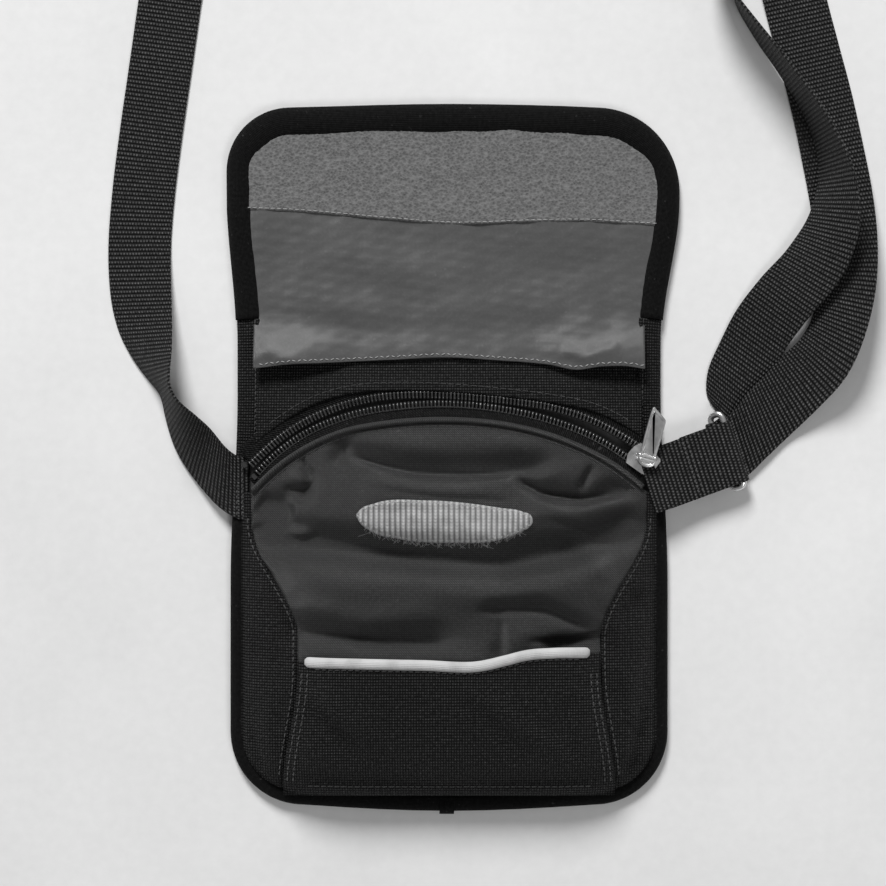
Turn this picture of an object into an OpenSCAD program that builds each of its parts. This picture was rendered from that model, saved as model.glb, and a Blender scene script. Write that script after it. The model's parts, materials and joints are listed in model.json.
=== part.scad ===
// Small shoulder pouch with a fold-over flap, an arched zip, a front pocket and a webbing strap.
// It lies on its back with the flap laid open. Origin: centre of the back face, on the surface it lies on.
// +X is to the right, +Y runs from the bag's bottom to the flap's tip, +Z points up through the front.

/* [Back and flap outline] */
// Half width of the body at its bottom
body_half = 87; // [80:0.5:90]
// Half width of the body where the flap begins
neck_half = 84.5; // [80:0.5:87]
// Radius of the body's two bottom corners
bottom_corner = 29; // [22:1:34]
// Distance from the origin to the bottom edge
bottom_reach = 138.5; // [134:0.5:142]
// Half width of the flap at its widest
flap_half = 90; // [86:0.5:93]
// Distance from the origin to the flap's tip
flap_reach = 139; // [132:0.5:142]
// Radius of the flap's left corner
flap_corner_left = 25; // [20:1:32]
// Radius of the flap's right corner
flap_corner_right = 33; // [24:1:38]

/* [Layers] */
// Thickness of a bound edge
edge_t = 5; // [4.6:0.1:6]
// Width of the flap's binding
flap_bind_w = 9.5; // [7:0.5:11]
// Width of the canvas band beside the yoke
side_band_w = 8.6; // [7:0.2:9]
// Width of the binding round the body
body_bind_w = 6; // [5:0.5:6]
// Thickness of sewn cloth panels
cloth_t = 0.8; // [0.5:0.1:1]

/* [Front] */
// Height that the front panel rises above the back
front_rise = 15.5; // [14:0.2:16]
// Height of the front panel along its arched edge
arch_rise = 6.7; // [6:0.1:7.5]
// Extra room inside the front pocket
pocket_room = 6; // [5:0.1:7]
// Place of the pocket's mouth along Y
mouth_y = -81; // [-86:0.5:-78]

/* [Zip] */
// Radius of the zip's arc
zip_r = 125.5; // [124:0.5:127]
// Angle of the slider from the middle of the arc, with the zip open
slider_angle = 36.8; // [34:0.2:37]
// Length of the slider's travel along the arc
slider_travel = 68; // [50:1:69]
// Distance of each coil from the middle of the zip
coil_offset = 3.1; // [3:0.05:3.3]
// Radius of a coil
coil_r = 0.75; // [0.6:0.05:0.8]

/* [Strap] */
// Width of the webbing
web_w = 25; // [20:1:25]
// Thickness of the webbing
web_t = 1.2; // [1:0.1:1.3]
// Wire diameter of the strap ring
ring_wire = 2.6; // [2:0.1:2.8]
// Outer length of the strap ring
ring_len = 33; // [32:0.5:36]

/* [Hidden] */
$fn = 48;

// Heights of the stacked cloth layers
skin_z = 1;
foam_z = 1.85;
lining_z = 3.3;
lining_top = 3.9;
slot_low = 0.9;
slot_high = 4.1;
base_z = 5.9;
flap_join = 44.5;
flap_start = 46;
slot_in = 2.7;

// Arc of the zip and the edges beside it
arch_x = 1.5;
arch_y = -101.5;
welt_r = 117.2;
yoke_r = 131.6;
tape_z = 7.8;
tape_t = 0.5;
coil_z = tape_z + tape_t + coil_r;
slot_half = coil_offset - coil_r;
slider_half = 4.9;
pivot_z = coil_z + coil_r + 3.2;
pin_r = 0.65;
puller_bearing = -15;
puller_len = 21.5;

// Webbing joints on the right: ring bars run along ring_az
ring_az = -72;
ring_mid = [110.6, 2.4];
bar_gap = 5.6;
bar_high_z = 5.9;
bar_low_z = 2.9;
ring_tilt = asin((bar_high_z - bar_low_z) / bar_gap);
bar_reach = bar_gap * cos(ring_tilt) / 2;

adjuster_at = [123.5, 246];
adjuster_az = 103;

function clamp(v, lo, hi) = min(max(v, lo), hi);
function mix(a, b, t) = a + (b - a) * t;
function ease(t) = let (c = clamp(t, 0, 1)) c * c * (3 - 2 * c);
function dome(t) = let (c = clamp(t, 0, 1)) sqrt(1 - (1 - c) * (1 - c));
function arc(c, r, from, to, n) =
    [for (i = [0:n]) let (a = mix(from, to, i / n)) c + r * [cos(a), sin(a)]];

// ---- outlines ----

function body_half_at(y) = mix(body_half, neck_half, ease((y + 50) / 75));

function body_points() = let (c = body_half - bottom_corner, low = bottom_corner - bottom_reach) concat(
    [for (y = [flap_join, 20, 0, -20, -40, -60]) [body_half_at(y), y]],
    arc([c, low], bottom_corner, 0, -90, 10),
    [for (x = [c - 20:-20:20 - c]) [x, -bottom_reach - 2.5 * cos(90 * x / c)]],
    arc([-c, low], bottom_corner, -90, -180, 10),
    [for (y = [-60, -40, -20, 0, 20, flap_join]) [-body_half_at(y), y]]);

function flap_points() = concat(
    [for (y = [flap_start, 65, 85, 100]) [mix(neck_half, flap_half, ease((y - flap_start) / 58)), y]],
    arc([flap_half - flap_corner_right, flap_reach - flap_corner_right], flap_corner_right, 0, 90, 10),
    [for (x = [45:-15:-45]) [x, flap_reach + 1.4 * cos(90 * x / 60)]],
    arc([flap_corner_left - flap_half, flap_reach - flap_corner_left], flap_corner_left, 90, 180, 10),
    [for (y = [100, 85, 65, flap_start]) [-mix(neck_half, flap_half, ease((y - flap_start) / 58)), y]]);

// Inset keeps the straight edge at the fold where it is
module body_plan(inset = 0) {
    intersection() {
        offset(delta = -inset) polygon(body_points());
        translate([-200, -200]) square([400, 200 + flap_join]);
    }
    if (inset > 0)
        translate([-neck_half + inset, flap_join - inset - 1]) square([2 * (neck_half - inset), inset + 1]);
}

module flap_plan(inset = 0) {
    offset(delta = -inset) polygon(flap_points());
    if (inset > 0)
        translate([-neck_half + inset, flap_start]) square([2 * (neck_half - inset), inset + 1]);
}

module slab(low, high) {
    translate([0, 0, low]) linear_extrude(high - low) children();
}

module bound_edge(low_slot, high_slot) {
    difference() {
        slab(0, edge_t) children(0);
        slab(low_slot, high_slot) children(1);
    }
}

// ---- curved sheets ----

// Closed sheet under a grid of rows of points, "thick" deep
module sheet(rows, thick) {
    m = len(rows);
    n = len(rows[0]);
    top = [for (r = rows) each r];
    low = [for (p = top) p - [0, 0, thick]];
    k = m * n;
    faces = concat(
        [for (i = [0:m - 2], j = [0:n - 2]) each
            let (a = i * n + j, b = a + 1, c = a + n, d = c + 1)
            [[a, d, b], [a, c, d], [k + a, k + b, k + d], [k + a, k + d, k + c]]],
        [for (j = [0:n - 2]) each
            let (a = j, b = j + 1, c = (m - 1) * n + j, d = c + 1)
            [[a, b, k + b], [a, k + b, k + a], [c, k + d, d], [c, k + c, k + d]]],
        [for (i = [0:m - 2]) each
            let (a = i * n, c = a + n, b = a + n - 1, d = b + n)
            [[a, k + a, k + c], [a, k + c, c], [b, k + d, k + b], [b, d, k + d]]]);
    polyhedron(concat(top, low), faces);
}

// Closed tube through rings of points
module tube(rings) {
    m = len(rings);
    n = len(rings[0]);
    faces = concat(
        [for (i = [0:m - 2], j = [0:n - 1]) each
            let (a = i * n + j, b = i * n + (j + 1) % n, c = a + n, d = b + n)
            [[a, b, d], [a, d, c]]],
        [[for (j = [n - 1:-1:0]) j]],
        [[for (j = [0:n - 1]) (m - 1) * n + j]]);
    polyhedron([for (r = rings) each r], faces);
}

// Outer limit of the bulging front, just inside the binding
function side_limit(y) = y > -109.5 ? 81.6 : 58 + sqrt(max(0, 23.6 * 23.6 - pow(-109.5 - y, 2)));
// Distance of the front's side seams from the middle
function seam_x(y) = y > -71 ? mix(59.6, 78.4, ease((y + 71) / 45)) : 59.6 + 6.4 * ease((-83 - y) / 50);
function arch_dist(x, y) = norm([x - arch_x, y - arch_y]);
function arch_y_at(x, r) = arch_y + sqrt(r * r - (x - arch_x) * (x - arch_x));
function on_arch(r, a) = [arch_x + r * sin(a), arch_y + r * cos(a)];

// Outer face of the front, its gussets and the panel behind the pocket
function front_z(x, y) = let (
    bottom = dome((y + 134.5) / 45),
    side = dome((side_limit(y) - abs(x)) / 38),
    edge = arch_rise / front_rise,
    top = mix(edge, 1, sin(90 * clamp((welt_r - arch_dist(x, y)) / 75, 0, 1))))
    base_z + front_rise * bottom * side * top;

// Outer face of the pocket, which stands clear of the front at its mouth
function pocket_z(s, v, x, y) =
    front_z(x, y) + cloth_t + 0.2 + pocket_room * dome((1 - abs(s)) / 0.45) * dome(v / 0.8);

function front_rows(drop = 0, limit = 0, n = 24, m = 12) =
    [for (i = [0:m]) [for (j = [0:n]) let (
        s = 2 * j / n - 1,
        top_y = arch_y_at(78.4 * s, welt_r) - limit,
        y = mix(-134.2 + limit, top_y, i / m),
        x = (seam_x(y) - limit) * s)
        [x, y, front_z(x, y) - drop]]];

module front_panel() {
    color("#26272b") sheet(front_rows(), 0.7);
}

module front_lining() {
    color("#3a3b40") sheet(front_rows(2.8, 2.4), 0.3);
}

function gusset_rows(n = 5, m = 14) =
    [for (i = [0:m]) [for (j = [0:n]) let (
        y = mix(-132, -26, i / m),
        x = mix(seam_x(y) + 0.5, side_limit(y), j / n))
        [x, y, front_z(x, y)]]];

module gusset_right() {
    color("#1d1e21") sheet(gusset_rows(), cloth_t);
}

module gusset_left() {
    color("#1d1e21") mirror([1, 0, 0]) sheet(gusset_rows(), cloth_t);
}

// Lateral place 0..1 and height place 0..1 on the pocket
function pocket_point(s, v, drop = 0) = let (
    y = mix(-134.2, mouth_y, v),
    x = (seam_x(y) - 0.3) * s)
    [x, y, pocket_z(s, v, x, y) - drop];

module pocket_panel() {
    color("#1d1e21")
        sheet([for (i = [0:9]) [for (j = [0:20]) pocket_point(j / 10 - 1, i / 9)]], cloth_t);
}

module pocket_trim() {
    trim_w = 3.6;
    rows = [for (i = [0:1]) [for (j = [0:20]) let (p = pocket_point(0.99 * (j / 10 - 1), 1))
        p + [0, 0.2 + i * trim_w, 0.5]]];
    color("#b9bbbd") sheet(rows, 1.6);
}

module hook_patch() {
    rows = [for (i = [0:4]) [for (j = [0:14]) let (
        s = j / 7 - 1,
        x = -2 + 34 * s,
        top_y = -17.5 - 1.5 * s,
        low_y = top_y - 0.4 - 15.6 * dome(1 - abs(s)),
        y = mix(low_y, top_y, i / 4))
        [x, y, front_z(x, y) + 1.5]]];
    color("#a9abad") sheet(rows, 1.3);
}

// Piping along the arched edge
module arch_welt() {
    r = 0.9;
    rings = [for (i = [0:32]) let (
        a = mix(-41, 39, i / 32),
        p = on_arch(welt_r + 1.1, a),
        q = on_arch(welt_r, a),
        z = front_z(q[0], q[1]) + 0.1)
        [for (k = [0:7]) let (t = 45 * k)
            [p[0] + r * cos(t) * sin(a), p[1] + r * cos(t) * cos(a), z + r * sin(t)]]];
    color("#26272b") tube(rings);
}

// ---- zip ----

module zip_tape_front() {
    rows = [for (i = [0:2]) [for (j = [0:36]) let (
        a = mix(-40, 38, j / 36),
        r = [welt_r + 2.3, coil_edge_front(), zip_r - slot_half][i],
        q = on_arch(welt_r, a),
        z = i == 0 ? front_z(q[0], q[1]) - 1 : tape_z + tape_t)
        concat(on_arch(r, a), z)]];
    color("#17181a") sheet(rows, tape_t);
}

function coil_edge_front() = zip_r - slider_half - 0.1;

module zip_tape_yoke() {
    rows = [for (i = [0:2]) [for (j = [0:36]) let (
        a = mix(-38.5, 38, j / 36),
        r = [zip_r + slot_half, zip_r + slider_half + 0.1, yoke_r - 0.3][i])
        concat(on_arch(r, a), tape_z + tape_t + (i == 2 ? 0.3 : 0))]];
    color("#17181a") sheet(rows, tape_t);
}

module zip_arc(r, from, to) {
    translate([arch_x, arch_y]) rotate([0, 0, 90 - to])
        rotate_extrude(angle = to - from, $fn = 180) translate([r, 0]) children();
}

module coil(r) {
    color("#0f0f10") translate([0, 0, coil_z + 0.02]) zip_arc(r, -39, 38) circle(coil_r, $fn = 20);
}

module coil_front() {
    coil(zip_r - coil_offset);
}

module coil_yoke() {
    coil(zip_r + coil_offset);
}

// Metal stops crimped on both coils where the slider's travel ends
module zip_stops() {
    stop_angle = -40;
    color("#8d8f92") for (r = [zip_r - coil_offset, zip_r + coil_offset])
        translate(concat(on_arch(r, stop_angle), tape_z + tape_t + 0.56)) rotate([0, 0, -stop_angle])
            cube([1.6, 2.2, 1.1], center = true);
}

module at_slider() {
    translate([arch_x, arch_y, 0]) rotate([0, 0, -slider_angle]) translate([0, zip_r, 0]) children();
}

module slider_plate() {
    polygon(concat(
        [[-6, -2.2], [-4.6, -slider_half], [1, -slider_half + 0.1], [5.4, -4.3]],
        [[6, -3.4], [6, 3.4], [5.4, 4.3], [1, slider_half - 0.1], [-4.6, slider_half], [-6, 2.2]]));
}

module slider_body() {
    plate_t = 0.8;
    low_top = tape_z - 0.3;
    high_low = coil_z + coil_r + 0.2;
    color("#a6a8ab") at_slider() {
        slab(low_top - plate_t, low_top) slider_plate();
        slab(high_low, high_low + plate_t) slider_plate();
        slab(low_top - 0.1, high_low + 0.1) translate([-5.2, -1.3]) square([2.6, 2.6]);
        for (s = [-1, 1])
            slab(tape_z + tape_t + 0.3, high_low + 0.1)
                translate([-3.6, s * 4.4 - 0.35]) square([6.6, 0.7]);
    }
}

// Pivot of the puller, on two ears that stand on the slider
module at_puller() {
    at_slider() translate([1.2, 0.4, pivot_z]) rotate([0, 0, slider_angle + puller_bearing]) children();
}

module slider_bridge() {
    ear_low = coil_z + coil_r + 1;
    color("#b4b6b9") at_puller() {
        translate([-5.2, 0, 0]) rotate([0, 90, 0]) cylinder(r = pin_r, h = 9.4);
        for (x = [-5.5, 3.4])
            translate([x, -1, ear_low - pivot_z]) cube([1, 2, pivot_z - ear_low + 0.9]);
    }
}

module puller() {
    barrel_r = 1.35;
    color("#b4b6b9") at_puller() difference() {
        union() {
            slab(-0.8, 0.8) polygon([[-3.1, 0], [3.1, 0], [3.6, 6.5], [3.8, 16.5], [0.6, puller_len],
                [-3.4, 18], [-3.6, 6.5]]);
            translate([-3.1, 0, 0]) rotate([0, 90, 0]) cylinder(r = barrel_r, h = 6.2);
        }
        slab(-2, 2) translate([-1.5, -2]) square([3, 6.4]);
        slab(0.5, 1) translate([-1.9, 8]) square([3.8, 7.5]);
        translate([-4, 0, 0]) rotate([0, 90, 0]) cylinder(r = pin_r + 0.1, h = 8);
    }
}

// ---- back ----

module back_panel() {
    color("#1d1e21") {
        slab(skin_z, skin_z + cloth_t) body_plan(slot_in);
        slab(0, skin_z + 0.1) body_plan(side_band_w + 0.3);
    }
}

module back_foam() {
    color("#55565a") slab(foam_z, lining_z - 0.05) body_plan(slot_in);
}

module back_lining() {
    color("#6f7173") slab(lining_z, lining_top) body_plan(slot_in);
}

module body_binding() {
    color("#1a1b1d") difference() {
        bound_edge(slot_low, slot_high) {
            body_plan();
            body_plan(slot_in - 0.1);
        }
        slab(-1, edge_t + 1) body_plan(body_bind_w);
        slab(-1, edge_t + 1) translate([-100, -1.6]) square([200, 60]);
    }
}

// Where the two ends of the binding overlap, at the bottom edge
module binding_end() {
    color("#1a1b1d") slab(0.4, edge_t - 0.4)
        translate([-3.4, -bottom_reach - 3.6]) square([5.2, 1]);
}

module side_band(side) {
    color("#1d1e21") intersection() {
        difference() {
            bound_edge(slot_low, slot_high) {
                body_plan();
                body_plan(slot_in - 0.1);
            }
            slab(-1, edge_t + 1) body_plan(side_band_w);
        }
        translate([side > 0 ? 60 : -100, -1.4, -1]) cube([40, flap_join + 1.4, 10]);
    }
}

module side_band_left() {
    side_band(-1);
}

module side_band_right() {
    side_band(1);
}

// Canvas between the flap's lining and the zip
module yoke_panel() {
    rows = [for (i = [0:3]) [for (j = [0:30]) let (
        a = mix(-35.2, 34.4, j / 30),
        p = on_arch(yoke_r, a),
        top_y = 37.5 - 3 * pow(abs(p[0]) / 76, 2),
        y = mix(p[1], top_y, i / 3),
        z = mix(tape_z + 1.9, 5.4, ease(i / 3)) - 0.4 * ease((abs(p[0]) - 56) / 20))
        [p[0], y, z]]];
    color("#1f2023") sheet(rows, cloth_t);
}

// ---- flap ----

module flap_shell() {
    color("#1d1e21") {
        slab(skin_z, skin_z + cloth_t) flap_plan(slot_in);
        slab(0.3, skin_z + 0.1) flap_plan(flap_bind_w + 0.3);
    }
}

module flap_foam() {
    color("#55565a") slab(foam_z, lining_z - 0.05) flap_plan(slot_in);
}

module flap_lining() {
    color("#77797b") slab(lining_z, lining_top) flap_plan(slot_in);
}

module flap_loop_panel() {
    color("#85878a") slab(lining_top + 0.05, edge_t) intersection() {
        flap_plan(flap_bind_w + 0.2);
        polygon([[-100, 98], [100, 92.5], [100, 150], [-100, 150]]);
    }
}

module flap_binding() {
    color("#111112") bound_edge(slot_low, slot_high) {
        difference() {
            flap_plan();
            flap_plan(flap_bind_w);
        }
        flap_plan(slot_in - 0.1);
    }
}

// ---- strap ----

// Ribbon outline across the webbing's thickness, along a list of [reach, height] points
module ribbon_profile(path) {
    n = len(path);
    h = web_t / 2;
    side = [for (i = [0:n - 1]) let (
        d = path[min(i + 1, n - 1)] - path[max(i - 1, 0)],
        u = [-d[1], d[0]] / norm(d))
        u * h];
    polygon(concat([for (i = [0:n - 1]) path[i] + side[i]], [for (i = [n - 1:-1:0]) path[i] - side[i]]));
}

bar_high = ring_mid + bar_reach * [cos(ring_az + 90), sin(ring_az + 90)];
loop_r = ring_wire / 2 + 0.15 + web_t / 2;

// Children lie in the plane of reach (X) and height (Y); they are swept across the webbing's width
module across_tab(shift = 0, w = web_w) {
    translate(concat(bar_high, 0)) rotate([0, 0, ring_az + 90]) translate([0, w / 2 - shift, 0])
        rotate([90, 0, 0]) linear_extrude(w) children();
}

module strap_tab() {
    path = concat(
        [[-19, 6.5], [-14, 6.8], [-bar_reach * 2, 6.95], [-2.9, 6.35], [-1.95, 4.9]],
        [for (a = [-120:30:90]) [loop_r * cos(a), bar_high_z + loop_r * sin(a)]],
        [[-2.5, 8.4], [-8, 8.3], [-14, 8.1], [-22, 7.5], [-27, 6.3], [-32, 5.8]]);
    color("#1a1b1d") across_tab(0.4) ribbon_profile(path);
}

module tab_stitches() {
    color("#303135") for (q = [-16.6, -18.4]) across_tab(0.4, web_w - 4)
        translate([q, 5.6]) square([0.5, 3.2]);
}

// Rounded wire loop: two bars, two short ends and four quarter bends
module strap_ring() {
    bend = 2.4;
    half_l = (ring_len - ring_wire) / 2;
    half_b = bar_gap / 2;
    color("#c6c8ca") translate(concat(bar_high, bar_high_z)) rotate([0, 0, ring_az]) rotate([ring_tilt, 0, 0])
        translate([0, -half_b, 0]) union() {
            for (s = [-1, 1]) {
                translate([-half_l + bend, s * half_b, 0]) rotate([0, 90, 0])
                    cylinder(d = ring_wire, h = 2 * (half_l - bend));
                translate([s * half_l, -half_b + bend, 0]) rotate([-90, 0, 0])
                    cylinder(d = ring_wire, h = 2 * (half_b - bend));
            }
            for (q = [0:3]) {
                sx = q == 0 || q == 3 ? 1 : -1;
                sy = q < 2 ? 1 : -1;
                translate([sx * (half_l - bend), sy * (half_b - bend), 0]) rotate([0, 0, 90 * q])
                    rotate_extrude(angle = 90) translate([bend, 0]) circle(d = ring_wire);
            }
        }
}

// Route of the webbing: [x, y, clear height under its lower edge, bearing of its width, lean of its width]
ROUTE = [
    [-79.6, -12.6, 5.2, 90, 0], [-84, -12, 5.3, 90, 2], [-90, -8, 4, 84, 12], [-97, 0, 1.4, 74, 26],
    [-104, 9, 0.3, 60, 46], [-109, 18, 0.2, 42, 66], [-112, 26, 0.2, 24, 74], [-115, 33, 0.2, 12, 62],
    [-118, 41, 0.2, 4, 44], [-121, 52, 0.2, 2, 24], [-123, 66, 0.2, 1, 8], [-123.6, 84, 0.2, 0, 0],
    [-122, 106, 0.2, -4, 0], [-119, 130, 0.2, -8, 0], [-115.4, 155, 0.2, -8, 0], [-111.4, 183, 0.2, -8, 0],
    [-107.6, 210, 0.2, -8, 6], [-104, 236, 0.2, -8, 40], [-101, 262, 0.2, -8, 84], [-95, 290, 0.2, -20, 90],
    [-80, 320, 0.2, -36, 90], [-56, 346, 0.2, -56, 90], [-26, 362, 0.2, -74, 90], [8, 366, 0.2, -92, 90],
    [42, 362, 0.2, -110, 90], [72, 350, 0.2, -128, 90], [94, 332, 0.2, -146, 88], [106, 312, 0.2, -160, 62],
    [112.6, 292, 0.8, -167, 24], [116.8, 275, 1.8, -167, 0], [124.4, 242, 1.8, -167, 0],
    [130.6, 215, 3.0, -167, 0], [133.6, 202, 3.2, -167, 0],
    [138, 183, 0.8, -167, 0], [143.6, 162, 0.2, -166, 0],
    [148.8, 142, 0.2, -166, -1], [153, 122, 0.2, -168, -4], [156.4, 103, 0.2, -172, -10],
    [158, 85, 0.2, -178, -20], [157.6, 68, 0.2, -190, -30], [154.4, 52, 0.4, -206, -36],
    [148.6, 39.6, 0.9, -222, -26], [139.6, 29.6, 1.8, -234, -10], [130, 19.6, 1.8, -242, 2],
    [121.6, 11, 1.8, -248, 4], [116.4, 5.4, 1.8, -252, 1], [112.9, 3.15, 1.9, -252, 0],
    [111.8, 2.8, 2.15, -252, 0], [110.8, 2.46, 2.7, -252, 0]];
strap_bend = ring_mid - bar_reach * [cos(ring_az + 90), sin(ring_az + 90)];
BEND = [for (a = [60:30:270]) [
    strap_bend[0] + loop_r * cos(a) * cos(ring_az + 90), strap_bend[1] + loop_r * cos(a) * sin(ring_az + 90),
    bar_low_z + loop_r * sin(a) - web_t / 2, -252, 0]];
RETURN = [
    [109.8, 2.15, 0.2, -252, 0], [112.4, 3.9, 0.2, -249, 0], [113.2, 8.4, 0.2, -238, 0],
    [112, 16, 0.2, -224, 0], [113.4, 27, 0.2, -218, 0], [118.6, 39, 0.2, -216, 0],
    [125.2, 51.8, 0.5, -216, -2], [134.4, 64.2, 1.8, -216, -8], [145, 77, 2.6, -210, -20],
    [151.6, 92, 2.6, -196, -42], [152.8, 108, 3, -182, -62], [149.8, 122, 2.8, -164, -76],
    [143, 137, 2.2, -150, -84], [132.6, 153, 1.8, -144, -88], [121.8, 168, 0.4, -142, -92],
    [112.8, 182, 0.2, -146, -100], [110.6, 193, 0.2, -152, -122], [114, 202, 0.2, -154, -156],
    [120, 209, 0.2, -157, -173], [125.4, 214.6, 0.2, -162, -178], [128.4, 219.8, 0.2, -167, -180],
    [127.6, 225.6, 0.2, -167, -180]];

function raise(p) = p[2] + abs(sin(p[4])) * web_w / 2 + abs(cos(p[4])) * web_t / 2;
function spot(p) = [p[0], p[1], raise(p)];

module webbing(route) {
    n = len(route);
    knots = [for (p = route) concat(spot(p), p[3], p[4])];
    ends = concat([2 * knots[0] - knots[1]], knots, [2 * knots[n - 1] - knots[n - 2]]);
    rings = [for (i = [0:n - 1]) let (
        p = knots[i],
        t = ends[i + 2] - ends[i],
        dir = [t[0], t[1], t[2]] / norm([t[0], t[1], t[2]]),
        wide = [cos(p[4]) * cos(p[3]), cos(p[4]) * sin(p[3]), sin(p[4])],
        up = cross(dir, wide) / norm(cross(dir, wide)),
        c = [p[0], p[1], p[2]])
        [for (q = [[-1, -0.5], [-1, 0.5], [-0.97, 1], [0.97, 1], [1, 0.5], [1, -0.5], [0.97, -1], [-0.97, -1]])
            c + wide * q[0] * web_w / 2 + up * q[1] * web_t / 2]];
    tube(rings);
}

module strap() {
    color("#161718") webbing(concat(ROUTE, BEND, RETURN));
}

module anchor_stitches() {
    color("#303135") for (x = [-82.4, -84.4]) slab(6.2, 6.8)
        translate([x, -23]) square([0.5, 21]);
}

module at_adjuster() {
    translate(concat(adjuster_at, 0)) rotate([0, 0, adjuster_az]) children();
}

// Three-bar slide: the strap runs straight through, under both end bars and over the middle bar
module strap_adjuster() {
    inner = web_w + 1.6;
    rail = 2.6;
    color("#101011") at_adjuster() {
        for (s = [-1, 1]) {
            slab(0.1, 5.2) translate([-12, s * (inner + rail) / 2 - rail / 2]) square([24, rail]);
            translate([s * 10.6 - 1.4, -inner / 2 - 0.1, 3.4]) cube([2.8, inner + 0.2, 1.8]);
        }
        translate([-1.3, -inner / 2 - 0.1, 0.3]) cube([2.6, inner + 0.2, 1.2]);
    }
}

// Sewn end of the webbing, on the adjuster's middle bar
module strap_end() {
    color("#161718") at_adjuster() translate([-20, -web_w / 2, 0.2]) cube([18.4, web_w, web_t]);
}

back_panel();
back_foam();
back_lining();
body_binding();
binding_end();
side_band_left();
side_band_right();
yoke_panel();
gusset_left();
gusset_right();
front_panel();
front_lining();
arch_welt();
hook_patch();
pocket_panel();
pocket_trim();
zip_tape_front();
zip_tape_yoke();
coil_front();
coil_yoke();
zip_stops();
slider_body();
slider_bridge();
puller();
flap_shell();
flap_foam();
flap_lining();
flap_loop_panel();
flap_binding();
strap_tab();
tab_stitches();
strap_ring();
strap();
anchor_stitches();
strap_adjuster();
strap_end();
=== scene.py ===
"""Looks of a small shoulder pouch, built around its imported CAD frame.

Shapes are worked out in millimetres and turned into metres where a mesh is made.
"""

import json
import math

import bpy
import numpy as np
from mathutils import Matrix, Vector


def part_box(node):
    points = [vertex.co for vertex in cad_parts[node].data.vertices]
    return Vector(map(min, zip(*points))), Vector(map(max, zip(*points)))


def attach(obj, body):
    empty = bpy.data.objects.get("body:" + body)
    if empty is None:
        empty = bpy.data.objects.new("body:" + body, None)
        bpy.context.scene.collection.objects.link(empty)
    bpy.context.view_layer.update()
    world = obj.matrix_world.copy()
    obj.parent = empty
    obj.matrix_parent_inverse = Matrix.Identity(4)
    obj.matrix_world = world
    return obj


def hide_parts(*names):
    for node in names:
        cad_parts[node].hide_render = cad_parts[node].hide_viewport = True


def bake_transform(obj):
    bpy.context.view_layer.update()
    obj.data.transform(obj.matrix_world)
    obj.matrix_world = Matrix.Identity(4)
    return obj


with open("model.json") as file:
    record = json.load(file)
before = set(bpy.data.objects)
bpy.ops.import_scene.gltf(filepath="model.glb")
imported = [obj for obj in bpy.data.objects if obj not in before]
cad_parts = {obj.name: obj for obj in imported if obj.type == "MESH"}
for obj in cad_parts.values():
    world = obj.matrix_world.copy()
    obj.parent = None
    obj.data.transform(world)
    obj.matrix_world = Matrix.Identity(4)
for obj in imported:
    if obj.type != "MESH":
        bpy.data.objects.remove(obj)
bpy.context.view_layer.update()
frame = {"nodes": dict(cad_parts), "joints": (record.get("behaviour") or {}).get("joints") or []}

MM = 0.001

# ---- driving sizes, as in the CAD ----

BODY_HALF, NECK_HALF, FLAP_HALF = 87, 84.5, 90
BOTTOM_REACH, FLAP_REACH = 138.5, 139
BOTTOM_CORNER, LEFT_CORNER, RIGHT_CORNER = 29, 25, 33
FLAP_START, BAND_TOP, SEAM_Y = 46, 52.8, -1.4
FRONT_RISE, ARCH_RISE, BASE_Z = 15.5, 6.7, 5.9
POCKET_ROOM, MOUTH_Y, FRONT_LOW = 6, -81, -134.2
ARCH = (1.5, -101.5)
WELT_R = 117.2
TAPE_Z = 8.1
WEB_W, WEB_T = 25, 1.2
CLOTH_T = 0.8
RING_AZ, RING_MID = math.radians(-72), (110.6, 2.4)
ADJUSTER_AZ, BAR_BEARING = 103, -252
BAR_REACH, BAR_HIGH_Z, BAR_LOW_Z, LOOP_R = 2.364, 5.9, 2.9, 2.05


# ---- small functions ----

def ease(t):
    c = np.clip(t, 0, 1)
    return c * c * (3 - 2 * c)


def dome(t):
    return np.sqrt(1 - (1 - np.clip(t, 0, 1)) ** 2)


def mix(a, b, t):
    return a + (b - a) * t


def spline(x, knots):
    """Smooth curve through given (place, value) knots."""
    px, py = (np.array(column, float) for column in zip(*knots))
    slope = np.gradient(py, px)
    x = np.clip(x, px[0], px[-1])
    i = np.clip(np.searchsorted(px, x, side="right") - 1, 0, len(px) - 2)
    h = px[i + 1] - px[i]
    t = (x - px[i]) / h
    return (
        (2 * t**3 - 3 * t**2 + 1) * py[i] + (t**3 - 2 * t**2 + t) * h * slope[i]
        + (3 * t**2 - 2 * t**3) * py[i + 1] + (t**3 - t**2) * h * slope[i + 1]
    )


def catmull(points, step):
    """Points of any width along a smooth line through given ones, about step apart."""
    p = np.array(points, float)
    ends = np.vstack([2 * p[0] - p[1], p, 2 * p[-1] - p[-2]])
    out = []
    for a, b, c, d in zip(ends, ends[1:], ends[2:], ends[3:]):
        n = max(1, round(np.linalg.norm((c - b)[:3]) / step))
        for t in np.arange(n) / n:
            out.append(0.5 * (2 * b + (c - a) * t + (2 * a - 5 * b + 4 * c - d) * t**2
                              + (3 * b - a - 3 * c + d) * t**3))
    return np.array(out + [p[-1]])


def resample(points, step):
    """The same line with its points step apart along it."""
    p = np.array(points, float)
    run = run_along(p)
    places = np.linspace(0, run[-1], max(2, round(run[-1] / step) + 1))
    return np.stack([np.interp(places, run, p[:, k]) for k in range(p.shape[1])], 1)


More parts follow.
